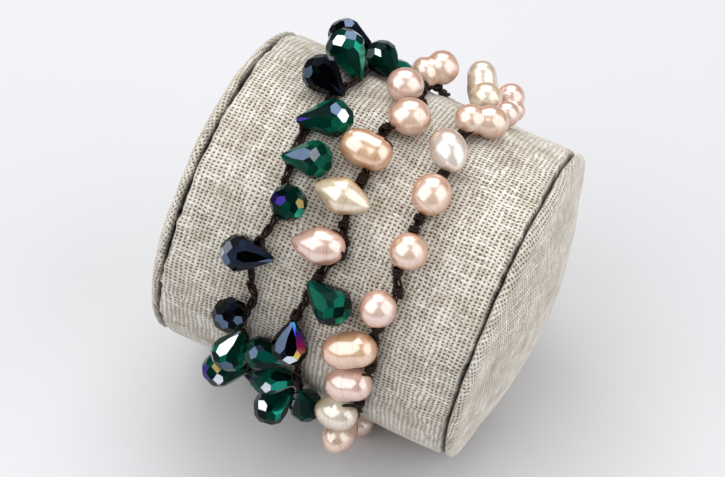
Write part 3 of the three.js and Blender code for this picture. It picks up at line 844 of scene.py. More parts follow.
@dataclass
class BeadMaker:
    """Makes pearls and crystal drops and seats them on the linen."""

    pose: RollPose
    pearl_width: float = 6.8
    crystal_width: float = 6.6
    linen_gap: float = 0.05
    pearl_sides: int = 40
    pearl_rings: int = 30
    groove_spread: float = 0.12
    facet_sides: int = 8
    facet_clearance: float = 1.015
    outline: tuple[tuple[float, float], ...] = (
        (0.0, 0.16), (0.13, 0.34), (0.28, 0.6), (0.44, 0.85),
        (0.6, 0.98), (0.74, 0.97), (0.88, 0.74), (1.0, 0.32),
    )
    film_reach: float = 0.95
    smoothness: float = 0.985
    unevenness: float = 0.02
    view: Optional[Matrix] = None
    materials: dict[Enum, bpy.types.Material] = field(default_factory=dict)
    seats: dict[str, tuple[Bead, Vector, Vector]] = field(default_factory=dict)

    def finish(self, tone: Enum) -> bpy.types.Material:
        """The material of a tone or film, built once.

        Args:
            tone: the pearl tone, crystal tone or facet film.

        Returns:
            Its material.
        """
        if tone not in self.materials:
            kinds = {PearlTone: Nacre, CrystalTone: CutGlass, FacetFilm: FlashFilm}
            self.materials[tone] = kinds[type(tone)](tone).build()
        return self.materials[tone]

    def lay_films(self, bead: Bead, mesh: bpy.types.Mesh) -> list[bpy.types.Material]:
        """Lays a drop's films, as painted flashes, on the facets that face the given ways from the camera.

        Args:
            bead: the drop.
            mesh: its mesh, in the roll's frame.

        Returns:
            The films' materials, in slot order after the glass.
        """
        lean = Matrix.Rotation(math.radians(self.pose.tilt_deg), 3, "Y")
        facing = [self.view.transposed() @ (lean @ polygon.normal) for polygon in mesh.polygons]
        films = []
        for film, right, up in bead.films:
            wanted = towards_camera(right, up)
            best = max(normal.dot(wanted) for normal in facing)
            films.append(self.finish(film))
            for polygon, normal in zip(mesh.polygons, facing):
                if normal.dot(wanted) > min(best - 1e-6, self.film_reach):
                    polygon.material_index = len(films)
        return films

    def pearl_share(self, form: BeadForm, along: float) -> float:
        """Half width of a pearl at a place along it.

        Args:
            form: the pearl's form.
            along: the place, from 0 at its tail to 1.

        Returns:
            The half width as a share of the widest.
        """
        tail, head, groove, groove_place = form.value
        reach = abs(2 * along - 1)
        fullness = tail if along < 0.5 else head
        body = max(0.0, 1 - reach**fullness) ** (1 / fullness)
        away = (along - groove_place) / self.groove_spread
        return body * (1 - groove * math.exp(-away * away))

    def pearl_mesh(self, bead: Bead) -> bmesh.types.BMesh:
        """A pearl about its own centre, its length along Z, gently uneven.

        Args:
            bead: the pearl.

        Returns:
            Its BMesh, with a growth UV map in millimetres.
        """
        length = bead.long * self.pearl_width
        width = bead.wide * self.pearl_width
        seed = Vector((bead.turn, bead.station, 0.0))
        build = bmesh.new()
        uv = build.loops.layers.uv.new("growth")
        rings = []
        for ring in range(self.pearl_rings + 1):
            along = (1 - math.cos(math.pi * ring / self.pearl_rings)) / 2
            share = 0.0 if ring in (0, self.pearl_rings) else self.pearl_share(bead.form, along)
            loop = []
            for side in range(self.pearl_sides if share else 1):
                angle = 2 * math.pi * side / self.pearl_sides
                way = Vector((math.cos(angle) * share, math.sin(angle) * share, 2 * along - 1))
                uneven = self.smoothness + self.unevenness * noise.noise(way * 1.1 + seed)
                flat = Vector((way.x * width / 2, way.y * width / 2, (along - 0.5) * length)) * uneven
                loop.append(build.verts.new(flat))
            rings.append(loop)
        for lower, upper in zip(rings, rings[1:]):
            for side, face in bridge(build, lower, upper, self.pearl_sides):
                for corner in face.loops:
                    corner[uv].uv = (side / self.pearl_sides, corner.vert.co.z + length)
        return build

    def crystal_mesh(self, bead: Bead) -> bmesh.types.BMesh:
        """A drop cut by flat planes about its own centre, its full end towards +Z.

        Args:
            bead: the drop.

        Returns:
            Its BMesh, one flat face for each facet.
        """
        length = bead.long * self.crystal_width
        width = bead.wide * self.crystal_width
        build = bmesh.new()
        bmesh.ops.create_cube(build, size=4 * length)
        cuts = [(Vector((0, 0, end)), Vector((0, 0, end * length / 2))) for end in (-1, 1)]
        for band, ((low, low_wide), (high, high_wide)) in enumerate(zip(self.outline, self.outline[1:])):
            rise = (high - low) * length
            spread = (high_wide - low_wide) * width / 2
            middle = Vector(((low_wide + high_wide) * width / 4, 0, ((low + high) / 2 - 0.5) * length))
            normal = Vector((rise, 0, -spread)).normalized()
            for side in range(self.facet_sides):
                spin = Matrix.Rotation((2 * side + band % 2) * math.pi / self.facet_sides, 3, "Z")
                cuts.append((spin @ normal, spin @ middle * self.facet_clearance))
        for normal, point in cuts:
            whole = build.verts[:] + build.edges[:] + build.faces[:]
            cut = bmesh.ops.bisect_plane(
                build, geom=whole, dist=1e-4, plane_co=point, plane_no=normal, clear_outer=True
            )
            rim = [item for item in cut["geom_cut"] if isinstance(item, bmesh.types.BMEdge)]
            if len(rim) >= 3:
                bmesh.ops.contextual_create(build, geom=rim)
        # A random share per facet, which the glass reads for its painted dark and lit facets.
        layer = build.faces.layers.float.new("facet")
        shades = random.Random(bead.name)
        for face in build.faces:
            face[layer] = shades.random()
        return build

    def mesh(self, bead: Bead) -> bmesh.types.BMesh:
        """A bead about its own centre, pearl or crystal."""
        return self.pearl_mesh(bead) if bead.is_pearl else self.crystal_mesh(bead)

    def seat(self, build: bmesh.types.BMesh, bead: Bead) -> tuple[Vector, Vector]:
        """Turns a bead to its heading and pitch, and sets it on the linen.

        Args:
            build: the bead about its own centre.
            bead: its turn, station, heading on the linen and pitch off it, angles in degrees.

        Returns:
            Its centre and the direction of its full end.
        """
        outward = self.pose.outward(bead.turn)
        onward = self.pose.onward(bead.turn)
        ahead, rise = math.radians(bead.heading), math.radians(bead.pitch)
        along = Vector((math.cos(ahead) * math.cos(rise), 0.0, 0.0))
        along += onward * (math.sin(ahead) * math.cos(rise)) + outward * math.sin(rise)
        spin = Vector((0, 0, 1)).rotation_difference(along).to_matrix().to_4x4()
        bmesh.ops.transform(build, matrix=spin, verts=build.verts)
        clear = self.pose.radius + self.linen_gap
        reach = max(
            math.sqrt(clear * clear - vert.co.dot(onward) ** 2) - vert.co.dot(outward) for vert in build.verts
        )
        centre = outward * reach + Vector((bead.station, 0.0, 0.0))
        bmesh.ops.translate(build, vec=centre, verts=build.verts)
        return centre, along

    def make(self, bead: Bead) -> bpy.types.Object:
        """Makes one bead as a piece.

        Args:
            bead: its tone, place and size.

        Returns:
            The finished object.
        """
        build = self.mesh(bead)
        self.seats[bead.name] = (bead, *self.seat(build, bead))
        mesh = mesh_from(build, bead.name)
        materials = [self.finish(bead.tone), *self.lay_films(bead, mesh)]
        return finish_piece(bead.name + "_fine", mesh, self.pose, materials, smooth=bead.is_pearl)


@dataclass
class DisplayRoll:
    """The stuffed roll: a linen wall and two crowned, sewn end discs."""

    pose: RollPose
    route: CordRoute
    end_dome: float = 7.0
    end_shoulder: float = 5.0
    shoulder_rise: float = 1.8
    shoulder_base: float = 0.8
    shoulder_start: float = 0.7
    shoulder_swell: float = 0.1
    shoulder_inset: float = 0.15
    shoulder_steps: int = 8
    crown_steps: int = 22
    end_pucker: float = 0.12
    end_puckers: int = 44
    end_pucker_reach: float = 1.4
    end_dent: float = 0.3
    end_dent_scale: float = 0.09
    end_edge: tuple[tuple[float, float], ...] = ((1.0, 0.2), (0.55, 0.4), (0.2, 0.75))
    end_tuck: float = 0.2
    end_overlap: float = 0.1
    even_rows: int = 6
    end_groove_rise: float = 0.1
    end_groove_width: float = 0.3
    seam_depth: float = 1.9
    seam_half_width: float = 0.55
    seam_shade: float = 0.95
    seam_inset: float = 0.12
    seam_steepness: float = 1.4
    wobble_share: float = 0.5
    wobble_fade: int = 8
    wobble_slow: float = 0.55
    wobble_fast: float = 0.4
    open_usual: float = 0.62
    open_slow: float = 0.85
    open_fast: float = 0.6
    open_least: float = 0.15
    open_most: float = 1.1
    turn_steps: int = 288
    station_steps: int = 90
    row_crowding: float = 1.6
    wave: float = 0.28
    ripple: float = 0.12
    slack: float = 0.12
    pucker: float = 0.105
    pucker_mm: float = 4.2
    pucker_reach: float = 3.0
    cord_press: float = 0.35
    cord_press_width: float = 1.6
    cell_deg: int = 3
    floor_clearance: float = 0.02
    flat_middle: float = 200.0

    def seam_wobble(self, turn: float, side: int) -> float:
        """How far the hand-sewn seam strays along the axis, in millimetres."""
        way = self.pose.outward(turn) * 1.3 + Vector((7.0 * side, 0, 0))
        return self.wobble_slow * noise.noise(way) + self.wobble_fast * noise.noise(way * 6.0)

    def seam_open(self, turn: float, side: int) -> float:
        """How far the sewn seam stands open at a place.

        Args:
            turn: the place round the roll, in degrees.
            side: 1 for the right seam, -1 for the left.

        Returns:
            A share, least where the stitches draw it shut.
        """
        way = self.pose.outward(turn) * 4.0 + Vector((3.0 * side, 0, 0))
        opened = self.open_usual + self.open_slow * noise.noise(way) + self.open_fast * noise.noise(way * 5.0)
        return min(self.open_most, max(self.open_least, opened))

    def relief(self, turn: float, station: float) -> float:
        """Soft dents of the stuffed cloth at a place on the wall.

        Args:
            turn: the place round the roll, in degrees.
            station: the place along its axis, in millimetres.

        Returns:
            How far the cloth stands out, in millimetres.
        """
        way = self.pose.outward(turn) * 2.6 + Vector((station * 0.09, 0, 0))
        dents = self.wave * noise.noise(way) + self.ripple * noise.noise(way * 2.7)
        return dents - self.slack

    def settle_on_floor(self, build: bmesh.types.BMesh) -> None:
        """Flattens what would reach under the floor.

        Args:
            build: the cloth's mesh, in the roll's frame.
        """
        to_row = self.pose.matrix
        back = to_row.inverted()
        lowest = self.floor_clearance * MM
        for vert in build.verts:
            placed = to_row @ vert.co
            if placed.z < lowest:
                placed.z = lowest
                vert.co = back @ placed

    def press_under_cord(self, build: bmesh.types.BMesh) -> None:
        """Presses the cloth in along the cord, in the roll's frame.

        Args:
            build: the wall's mesh.
        """
        cells = 360 // self.cell_deg
        stations: dict[int, list[float]] = {}
        for turn, station in zip(self.route.turns, self.route.stations):
            stations.setdefault(int(turn % 360 // self.cell_deg), []).append(station)
        for vert in build.verts:
            cell = int(math.degrees(math.atan2(vert.co.z, -vert.co.y)) % 360 // self.cell_deg)
            near = [at for step in (0, 1, -1) for at in stations.get((cell + step) % cells, [])]
            if near:
                away = min(abs(vert.co.x - station) for station in near)
                press = self.cord_press * math.exp(-((away / self.cord_press_width) ** 2))
                vert.co -= Vector((0, vert.co.y, vert.co.z)).normalized() * press

    def wall(self) -> bpy.types.Mesh:
        """The linen wall between the two seams.

        Returns:
            Its mesh, with a UV map in millimetres.
        """
        build = bmesh.new()
        uv = build.loops.layers.uv.new("cloth")
        groove = build.verts.layers.float.new("groove")
        half = self.pose.seam_to_seam / 2
        grid = []
        for step in range(self.station_steps + 1):
            # The rows lie closer together towards the seams.
            even = step / self.station_steps * 2 - 1
            share = math.copysign(1 - (1 - abs(even)) ** self.row_crowding, even)
            side = 1 if share > 0 else -1
            ring = []
            for k in range(self.turn_steps):
                turn = 360 * k / self.turn_steps
                wobble = self.seam_wobble(turn, side) * self.wobble_share * abs(share) ** self.wobble_fade
                edge = half - self.seam_inset + wobble
                station = share * edge
                from_seam = edge - abs(station)
                opened = self.seam_open(turn, side)
                away = from_seam / (self.seam_half_width * opened)
                drop_in = self.seam_depth * math.exp(-(away**self.seam_steepness))
                phase = math.radians(turn) * self.pose.radius / self.pucker_mm * 2 * math.pi + 3 * side
                gather = self.pucker * math.exp(-from_seam / self.pucker_reach) * math.sin(phase)
                height = self.relief(turn, station) - drop_in + gather
                vert = build.verts.new(self.pose.beside(turn, station, height))
                # Painted shadow in the seam's groove, darker where the seam stands open, kept in the groove
                # attribute.
                shadow = math.exp(-((from_seam / self.seam_half_width) ** 2))
                vert[groove] = self.seam_shade * opened * shadow
                ring.append(vert)
            grid.append((ring, share * half))
        around = 2 * math.pi * self.pose.radius
        for (low, low_at), (high, high_at) in zip(grid, grid[1:]):
            for k, face in bridge(build, low, high, self.turn_steps):
                for corner, (at, station) in zip(face.loops, corner_places(k, low_at, high_at)):
                    corner[uv].uv = (at / self.turn_steps * around, station)
        for ring, at in (grid[0], grid[-1]):
            middle = build.verts.new((math.copysign(half - self.seam_inset, at), 0, 0))
            for _, face in bridge(build, ring, [middle], self.turn_steps):
                for corner in face.loops:
                    corner[uv].uv = (corner.vert.co.y, corner.vert.co.z)
        self.press_under_cord(build)
        self.settle_on_floor(build)
        return mesh_from(build, "linen_wall")

    def end_outline(self) -> tuple[list[tuple[float, float]], list[float]]:
        """The outline of a crowned end, from the seam to its middle.

        Returns:
            Its points, as reach from the axis and rise over the seam, and the length along the
            outline from the middle to each point.
        """
        crown = self.pose.radius - self.end_shoulder
        start = self.shoulder_base + self.shoulder_rise
        profile = [(self.pose.radius - self.seam_depth - self.end_tuck, self.end_groove_rise)]
        profile += [(self.pose.radius - inward, rise) for inward, rise in self.end_edge]
        for step in range(1, self.shoulder_steps + 1):
            angle = step / self.shoulder_steps * math.pi / 2
            reach = crown + (self.end_shoulder - self.shoulder_inset) * math.cos(angle)
            rise = self.shoulder_start + (self.shoulder_rise + self.shoulder_swell) * math.sin(angle)
            profile.append((reach, rise))
        for step in range(1, self.crown_steps):
            share = 1 - step / self.crown_steps
            profile.append((crown * share, start + (self.end_dome - start) * (1 - share * share)))
        profile.append((0.0, self.end_dome))
        arcs = [0.0]
        for (outer, low), (inner, high) in zip(reversed(profile), list(reversed(profile))[1:]):
            arcs.append(arcs[-1] + math.hypot(inner - outer, high - low))
        return profile, arcs[::-1]

    def end(self, side: int) -> bpy.types.Mesh:
        """A crowned end disc.

        Args:
            side: 1 for the right end, -1 for the left.

        Returns:
            Its mesh, with a UV map in millimetres.
        """
        build = bmesh.new()
        uv = build.loops.layers.uv.new("cloth")
        groove = build.verts.layers.float.new("groove")
        half = self.pose.seam_to_seam / 2
        rings = []
        spread = {}
        for index, ((reach, rise), arc) in enumerate(zip(*self.end_outline())):
            near_seam = math.exp(-rise / self.end_pucker_reach)
            # Painted shadow in the groove at the seam, darker where the seam stands open.
            shadow = math.exp(-(((rise - self.end_groove_rise) / self.end_groove_width) ** 2))
            ring = []
            for k in range(self.turn_steps if reach else 1):
                turn = 360 * k / self.turn_steps
                out = self.pose.outward(turn)
                wobble = self.seam_wobble(turn, side) * near_seam * self.wobble_share
                phase = math.radians(turn) * self.end_puckers + side
                gather = self.end_pucker * near_seam * math.sin(phase) if reach else 0.0
                way = out * reach * self.end_dent_scale + Vector((5 * side, 0, 0))
                dent = self.end_dent * noise.noise(way) if index > self.even_rows else 0.0
                station = side * (half + rise + wobble + dent - self.end_overlap)
                vert = build.verts.new(out * (reach + gather) + Vector((station, 0, 0)))
                vert[groove] = self.seam_shade * self.seam_open(turn, side) * shadow
                spread[vert] = (out.y * arc + self.flat_middle, out.z * arc + self.flat_middle)
                ring.append(vert)
            rings.append(ring)
        base = build.verts.new((side * (half + self.seam_inset), 0, 0))
        spread[base] = (self.flat_middle, self.flat_middle)
        rings.insert(0, [base])
        for low, high in zip(rings, rings[1:]):
            for _, face in bridge(build, low, high, self.turn_steps):
                for corner in face.loops:
                    corner[uv].uv = spread[corner.vert]
        self.settle_on_floor(build)
        return mesh_from(build, "linen_end")

    def make(self) -> None:
        """Builds the roll's three linen pieces."""
        linen = PlainWeaveLinen().build()
        meshes = {"roll_side": self.wall(), "roll_end_left": self.end(-1), "roll_end_right": self.end(1)}
        for name, mesh in meshes.items():
            piece = finish_piece(name + "_linen", mesh, self.pose, [linen])
            register(piece, name)


@dataclass
class CrochetCord:
    """The crocheted chain of waxed thread, stitch by stitch along the route."""

    pose: RollPose
    route: CordRoute
    thread: float = 0.64
    stitch_pitch: float = 2.9
    stitch_length: float = 4.4
    stitch_width: float = 2.0
    drop_to_linen: float = 0.3
    strand_sides: int = 6
    stitch_steps: int = 18
    loop_middle: float = 0.72
    loop_taper: float = 0.28
    loop_lift: float = 0.28
    loop_arch: float = 0.12
    core_steps: int = 6
    core_overlap: float = 1.15
    tie_thinner: float = 0.95
    unevenness: float = 0.28
    seed: int = 7
    material: Optional[bpy.types.Material] = None

    def strand(self, build: bmesh.types.BMesh, path: Sequence[Vector], width: float, closed: bool) -> None:
        """Adds a round strand along a path.

        Args:
            build: the BMesh it is added to.
            path: the strand's centre line.
            width: its width.
            closed: whether the path is a loop.
        """
        uv = build.loops.layers.uv.get("strand") or build.loops.layers.uv.new("strand")
        count = len(path)
        rings = []
        normal = Vector((0, 0, 1))
        lengths = [0.0]
        for index, point in enumerate(path):
            after = path[(index + 1) % count] if closed or index + 1 < count else point
            before = path[index - 1] if closed or index else point
            along = (after - before).normalized()
            normal = (normal - along * normal.dot(along)).normalized()
            beside = along.cross(normal)
            ring = []
            for side in range(self.strand_sides):
                angle = 2 * math.pi * side / self.strand_sides
                reach = normal * math.cos(angle) + beside * math.sin(angle)
                ring.append(build.verts.new(point + reach * width / 2))
            rings.append(ring)
            lengths.append(lengths[-1] + (after - point).length)
        for index in range(count if closed else count - 1):
            for side, face in bridge(build, rings[index], rings[(index + 1) % count], self.strand_sides):
                places = corner_places(side, lengths[index], lengths[index + 1])
                for corner, (at, far) in zip(face.loops, places):
                    corner[uv].uv = (far, at / self.strand_sides)
        if not closed:
            build.faces.new(rings[0][::-1])
            build.faces.new(rings[-1])

    def stitch(self) -> bpy.types.Object:
        """One chain stitch about its own middle, along +Z with +X off the linen.

        Returns:
            The stitch, which is set many times along the cord.
        """
        build = bmesh.new()
        loop = []
        for step in range(self.stitch_steps):
            angle = 2 * math.pi * step / self.stitch_steps
            reach = math.cos(angle)
            narrow = self.loop_middle - self.loop_taper * reach
            lift = -self.loop_lift * reach + self.loop_arch * math.cos(2 * angle)
            side = math.sin(angle) * (self.stitch_width - self.thread) / 2 * narrow / 0.8
            loop.append(Vector((lift, side, -reach * (self.stitch_length - self.thread) / 2)))
        self.strand(build, loop, self.thread, closed=True)
        core = []
        for k in range(self.core_steps):
            share = k / (self.core_steps - 1) - 0.5
            sway = (-0.35 + 0.1 * math.sin(k * 1.6), 0.22 * math.sin(k * 1.3))
            core.append(Vector((*sway, share * self.stitch_pitch * self.core_overlap)))
        self.strand(build, core, self.thread, closed=False)
        return put("stitch", mesh_from(build, "stitch"))

    def stitch_points(self, start: float, end: float) -> bpy.types.Object:
        """The places of a stretch's stitches, with their directions as attributes.

        Args:
            start: the length along the route where the stretch begins.
            end: and where it ends.

        Returns:
            An object of loose points.
        """
        count = max(2, round((end - start) / self.stitch_pitch))
        places, along, off = [], [], []
        for index in range(count):
            point, direction, turn = self.route.place(start + (index + 0.5) * (end - start) / count)
            outward = self.pose.outward(turn)
            places.append(point - outward * self.drop_to_linen)
            along.append(direction)
            off.append(outward)
        mesh = bpy.data.meshes.new("stitch_points")
        mesh.from_pydata([tuple(place) for place in places], [], [])
        for name, values in (("along", along), ("off", off)):
            layer = mesh.attributes.new(name, "FLOAT_VECTOR", "POINT")
            for index, value in enumerate(values):
                layer.data[index].vector = value
        return put("stitch_points", mesh)

    def stitch_tree(self) -> bpy.types.NodeTree:
        """Geometry Nodes that set a stitch at each point, turned along the cord.

        Returns:
            The node tree.
        """
        tree = bpy.data.node_groups.new("chain_of_stitches", "GeometryNodeTree")
        add = partial(add_node, tree)
        kinds = {"Geometry": "Geometry", "Stitch": "Object", "Unevenness": "Float", "Seed": "Int"}
        for name, kind in (kinds | {"Thread": "Material"}).items():
            tree.interface.new_socket(name, in_out="INPUT", socket_type=f"NodeSocket{kind}")
        tree.interface.new_socket("Geometry", in_out="OUTPUT", socket_type="NodeSocketGeometry")
        given = add("NodeGroupInput").outputs
        stored = partial(add, "GeometryNodeInputNamedAttribute", data_type="FLOAT_VECTOR")
        along, off = (stored({"Name": name}).outputs["Attribute"] for name in ("along", "off"))
        align = partial(add, "FunctionNodeAlignRotationToVector")
        upright = align({"Vector": along}, axis="Z")
        turn = align({"Rotation": upright, "Vector": off}, axis="X", pivot_axis="Z")
        stitch = add("GeometryNodeObjectInfo", {"Object": given["Stitch"]}).outputs["Geometry"]
        placed = add(
            "GeometryNodeInstanceOnPoints", {"Points": given["Geometry"], "Instance": stitch, "Rotation": turn}
        )
        least = add(MATH, {0: 0.0, 1: given["Unevenness"]}, operation="SUBTRACT")
        draw = partial(add, "FunctionNodeRandomValue")
        range_of_twist = {2: least, 3: given["Unevenness"], "Seed": given["Seed"]}
        twist = draw(range_of_twist, data_type="FLOAT").outputs[1]
        spin = add(COMBINE, {"Z": twist, "X": twist})
        turned = add("GeometryNodeRotateInstances", {"Instances": placed, "Rotation": spin})
        range_of_pull = {0: (0.85, 0.6, 0.95), 1: (1.1, 1.1, 1.1), "Seed": given["Seed"]}
        tension = draw(range_of_pull, data_type="FLOAT_VECTOR")
        pulled = add("GeometryNodeScaleInstances", {"Instances": turned, "Scale": tension})
        real = add("GeometryNodeRealizeInstances", {"Geometry": pulled})
        dressed = add("GeometryNodeSetMaterial", {"Geometry": real, "Material": given["Thread"]})
        add("NodeGroupOutput", {"Geometry": dressed})
        return tree

    def chain(self, name: str, start: float, end: float) -> bpy.types.Object:
        """Crochets one stretch of the cord.

        Args:
            name: the piece's name.
            start: the length along the route where it begins.
            end: and where it ends.

        Returns:
            The finished piece.
        """
        stitch = self.stitch()
        points = self.stitch_points(start, end)
        modifier = points.modifiers.new("chain", "NODES")
        modifier.node_group = self.stitch_tree()
        values = {"Stitch": stitch, "Unevenness": self.unevenness, "Seed": self.seed, "Thread": self.material}
        for item in modifier.node_group.interface.items_tree:
            if item.in_out == "INPUT" and item.name in values:
                modifier[item.identifier] = values[item.name]
        shown = points.evaluated_get(bpy.context.evaluated_depsgraph_get())
        mesh = bpy.data.meshes.new_from_object(shown)
        for spare in (points, stitch):
            bpy.data.objects.remove(spare)
        return finish_piece(name, mesh, self.pose)

    def loose_strand(self, name: str, paths: Sequence[Sequence[Vector]]) -> bpy.types.Object:
        """Makes single threads along paths in the roll's frame.

        Args:
            name: the piece's name.
            paths: the threads' centre lines.

        Returns:
            One piece of all the threads.
        """
        build = bmesh.new()
        for path in paths:
            self.strand(build, path, self.thread * self.tie_thinner, closed=False)
        return finish_piece(name, mesh_from(build, name), self.pose, [self.material])


@dataclass
class Bracelet:
    """The whole string: cord, pearls, crystal drops, hidden stretches and clasp."""

    pose: RollPose
    route: CordRoute
    beads: BeadMaker
    cord: CrochetCord
    stretches: tuple[StrandPart, ...] = (
        StrandPart("cord_front_1", 330, 494),
        StrandPart("cord_front_2", 680, 852),
        StrandPart("cord_front_3", 1036, 1219),
    )
    clasp_turn: float = 180.0
    clasp_length: float = 12.0
    clasp_width: float = 5.0
    clasp_end_width: float = 3.4
    clasp_end_length: float = 1.8
    clasp_bevel: float = 0.25
    clasp_waist_depth: float = 0.2
    clasp_waist_width: float = 0.2
    clasp_sides: int = 40
    clasp_search: float = 0.02
    knot_clearance: float = 0.6
    knot_length: float = 1.5
    knot_radius: float = 0.8
    knot_turns: float = 2.5
    knot_steps: int = 20
    tail_hold: float = 0.86
    pearl_hold: float = 0.55
    tie_samples: int = 4
    tie_bow: float = 0.4
    thread_steps: int = 8
    thread_lift: float = 0.2
    thread_sink: float = 0.5
    hidden_pearl: tuple[float, float] = (1.15, 0.96)
    hidden_crystal: tuple[float, float] = (1.3, 0.93)
    floor_search_deg: float = 60.0
    floor_search_steps: int = 14
    floor_gap: float = 0.03

    def tie_paths(self, strand: str) -> list[list[Vector]]:
        """Threads from the cord to each bead of a strand, two to a bead.

        Args:
            strand: the strand's number.

        Returns:
            The threads' centre lines, in the roll's frame.
        """
        paths = []
        to_roll = Matrix.Rotation(-math.radians(self.pose.tilt_deg), 3, "Y") @ self.beads.view
        points = self.route.points
        for name, (bead, centre, along) in self.beads.seats.items():
            if not name.startswith((f"pearl_{strand}_", f"crystal_{strand}_")):
                continue
            tail = centre - along * (bead.long * self.beads.crystal_width / 2) * self.tail_hold
            hold = centre if bead.is_pearl else tail
            index = min(range(len(points)), key=lambda i: (points[i] - hold).length)
            cord = points[index]
            if bead.is_pearl:
                hold = centre + (cord - centre) * self.pearl_hold
            for step in (-self.tie_samples, self.tie_samples):
                start = points[min(max(index + step, 0), len(points) - 1)]
                middle = start.lerp(hold, 0.5)
                bow = Vector((0, middle.y, middle.z)).normalized() * self.tie_bow
                paths.append([start, start.lerp(middle, 0.5) + bow * 0.75, middle + bow, hold])
            holes = (to_roll @ towards_camera(*place) for place in bead.threads)
            paths += [self.surface_thread(bead, centre, along, cord, hole.normalized()) for hole in holes]
            clear = bead.wide * self.beads.pearl_width / 2 + self.knot_clearance
            for way in (-clear, clear) if bead.is_pearl else (0.0,):
                paths.append(self.knot(self.route.reach[index] + way))
        return paths

    def knot(self, length: float) -> list[Vector]:
        """A knot beside a bead: a few turns of thread round the cord.

        Args:
            length: its place along the route, in millimetres.

        Returns:
            The thread's centre line.
        """
        length = min(max(length, 0.0), self.route.reach[-1])
        middle, along, _ = self.route.place(length)
        side = along.orthogonal().normalized()
        up = along.cross(side)
        path = []
        for step in range(self.knot_steps + 1):
            share = step / self.knot_steps
            angle = share * self.knot_turns * 2 * math.pi
            round_cord = side * math.cos(angle) + up * math.sin(angle)
            path.append(middle + along * (share - 0.5) * self.knot_length + round_cord * self.knot_radius)
        return path

    def surface_thread(
        self, bead: Bead, centre: Vector, along: Vector, cord: Vector, hole: Vector
    ) -> list[Vector]:
        """A thread that leaves a pearl's drilled hole and lies over its face to the cord.

        Args:
            bead: the pearl.
            centre: its centre.
            along: its long axis.
            cord: the cord's nearest point.
            hole: the direction of the hole from the centre.

        Returns:
            The thread's centre line.
        """
        goal = (cord - centre).normalized()
        long_half = bead.long * self.beads.pearl_width / 2
        wide_half = bead.wide * self.beads.pearl_width / 2
        path = []
        for step in range(self.thread_steps + 1):
            way = hole.slerp(goal, step / self.thread_steps)
            lengthwise = way.dot(along)
            sideways = math.sqrt(max(0.0, 1 - lengthwise * lengthwise))
            reach = 1 / math.sqrt((lengthwise / long_half) ** 2 + (sideways / wide_half) ** 2)
            lift = self.thread_lift if step else -self.thread_sink
            path.append(centre + way * (reach + lift))
        return path

    def fronts(self) -> None:
        """Crochets the three stretches of cord that show, with the threads that hold their beads."""
        for part in self.stretches:
            start, end = self.route.at_turn(part.start_turn), self.route.at_turn(part.end_turn)
            chain = self.cord.chain(part.node + "_chain", start, end)
            ties = self.cord.loose_strand(part.node + "_ties", self.tie_paths(part.node[-1]))
            register(join_meshes(part.node + "_crochet", [chain, ties]), part.node)

    def shown_beads(self) -> None:
        """Makes every bead that shows, as its own piece."""
        for bead in (*PEARLS, *CRYSTALS):
            register(self.beads.make(bead), bead.name)

    def floor_turn(self, bead: Bead, side: int, past: float) -> float:
        """The turn beside the floor where a hidden bead just clears it.

        Args:
            bead: the bead, with its turn straight down.
            side: 1 or -1, which side of straight down.
            past: degrees further along.

        Returns:
            The turn angle.
        """
        near, far = 0.0, self.floor_search_deg
        for _ in range(self.floor_search_steps):
            middle = (near + far) / 2
            turn = bead.turn + side * middle
            build = self.beads.mesh(bead)
            self.beads.seat(build, replace(bead, turn=turn, station=self.route.station_at(turn)))
            lowest = min((self.pose.matrix @ vert.co).z for vert in build.verts)
            build.free()
            near, far = (middle, far) if lowest < self.floor_gap * MM else (near, middle)
        return bead.turn + side * (far + past)

    def hidden_string(
        self, node: str, tones: type[Enum], start: float, end: float, rows: Sequence[tuple]
    ) -> None:
        """Makes one hidden stretch of cord and beads as one piece.

        Args:
            node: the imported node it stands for.
            tones: the tones its beads are drawn from, of pearls or of crystals.
            start: the length along the route where it begins.
            end: and where it ends.
            rows: turn, heading, side and past for each bead; side 0 is clear of the floor.
        """
        is_pearl = tones is PearlTone
        size = self.hidden_pearl if is_pearl else self.hidden_crystal
        pieces = [self.cord.chain(node + "_crochet", start, end)]
        for number, (turn, heading, side, past) in enumerate(rows):
            tone = random.Random(f"{node}{number}").choice(list(tones))
            bead = Bead(f"{node}_{number}", tone, turn, 0.0, heading, 0.0, *size)
            if side:
                turn = self.floor_turn(bead, side, past)
            pieces.append(self.beads.make(replace(bead, turn=turn, station=self.route.station_at(turn))))
        register(join_meshes(node + "_beads", pieces), node)

    def clasp_mesh(self) -> bmesh.types.BMesh:
        """The turned barrel about its own middle, along +Z.

        Returns:
            Its BMesh.
        """
        half = self.clasp_length / 2
        body = half - self.clasp_end_length
        bevel = self.clasp_bevel
        neck, belly = self.clasp_end_width / 2, self.clasp_width / 2
        profile = [(0.0, -half), (neck - bevel, -half), (neck, bevel - half), (neck, -body)]
        profile += [(belly - bevel, -body), (belly, bevel - body), (belly, -bevel)]
        profile.append((belly - self.clasp_waist_depth, -self.clasp_waist_width / 2))
        outline = profile + [(wide, -place) for wide, place in reversed(profile)]
        build = bmesh.new()
        line = [build.verts.new((wide, 0, place)) for wide, place in outline]
        turned = line + [build.edges.new(pair) for pair in zip(line, line[1:])]
        whole = {"angle": 2 * math.pi, "steps": self.clasp_sides, "use_merge": True}
        bmesh.ops.spin(build, geom=turned, cent=(0, 0, 0), axis=(0, 0, 1), **whole)
        return build

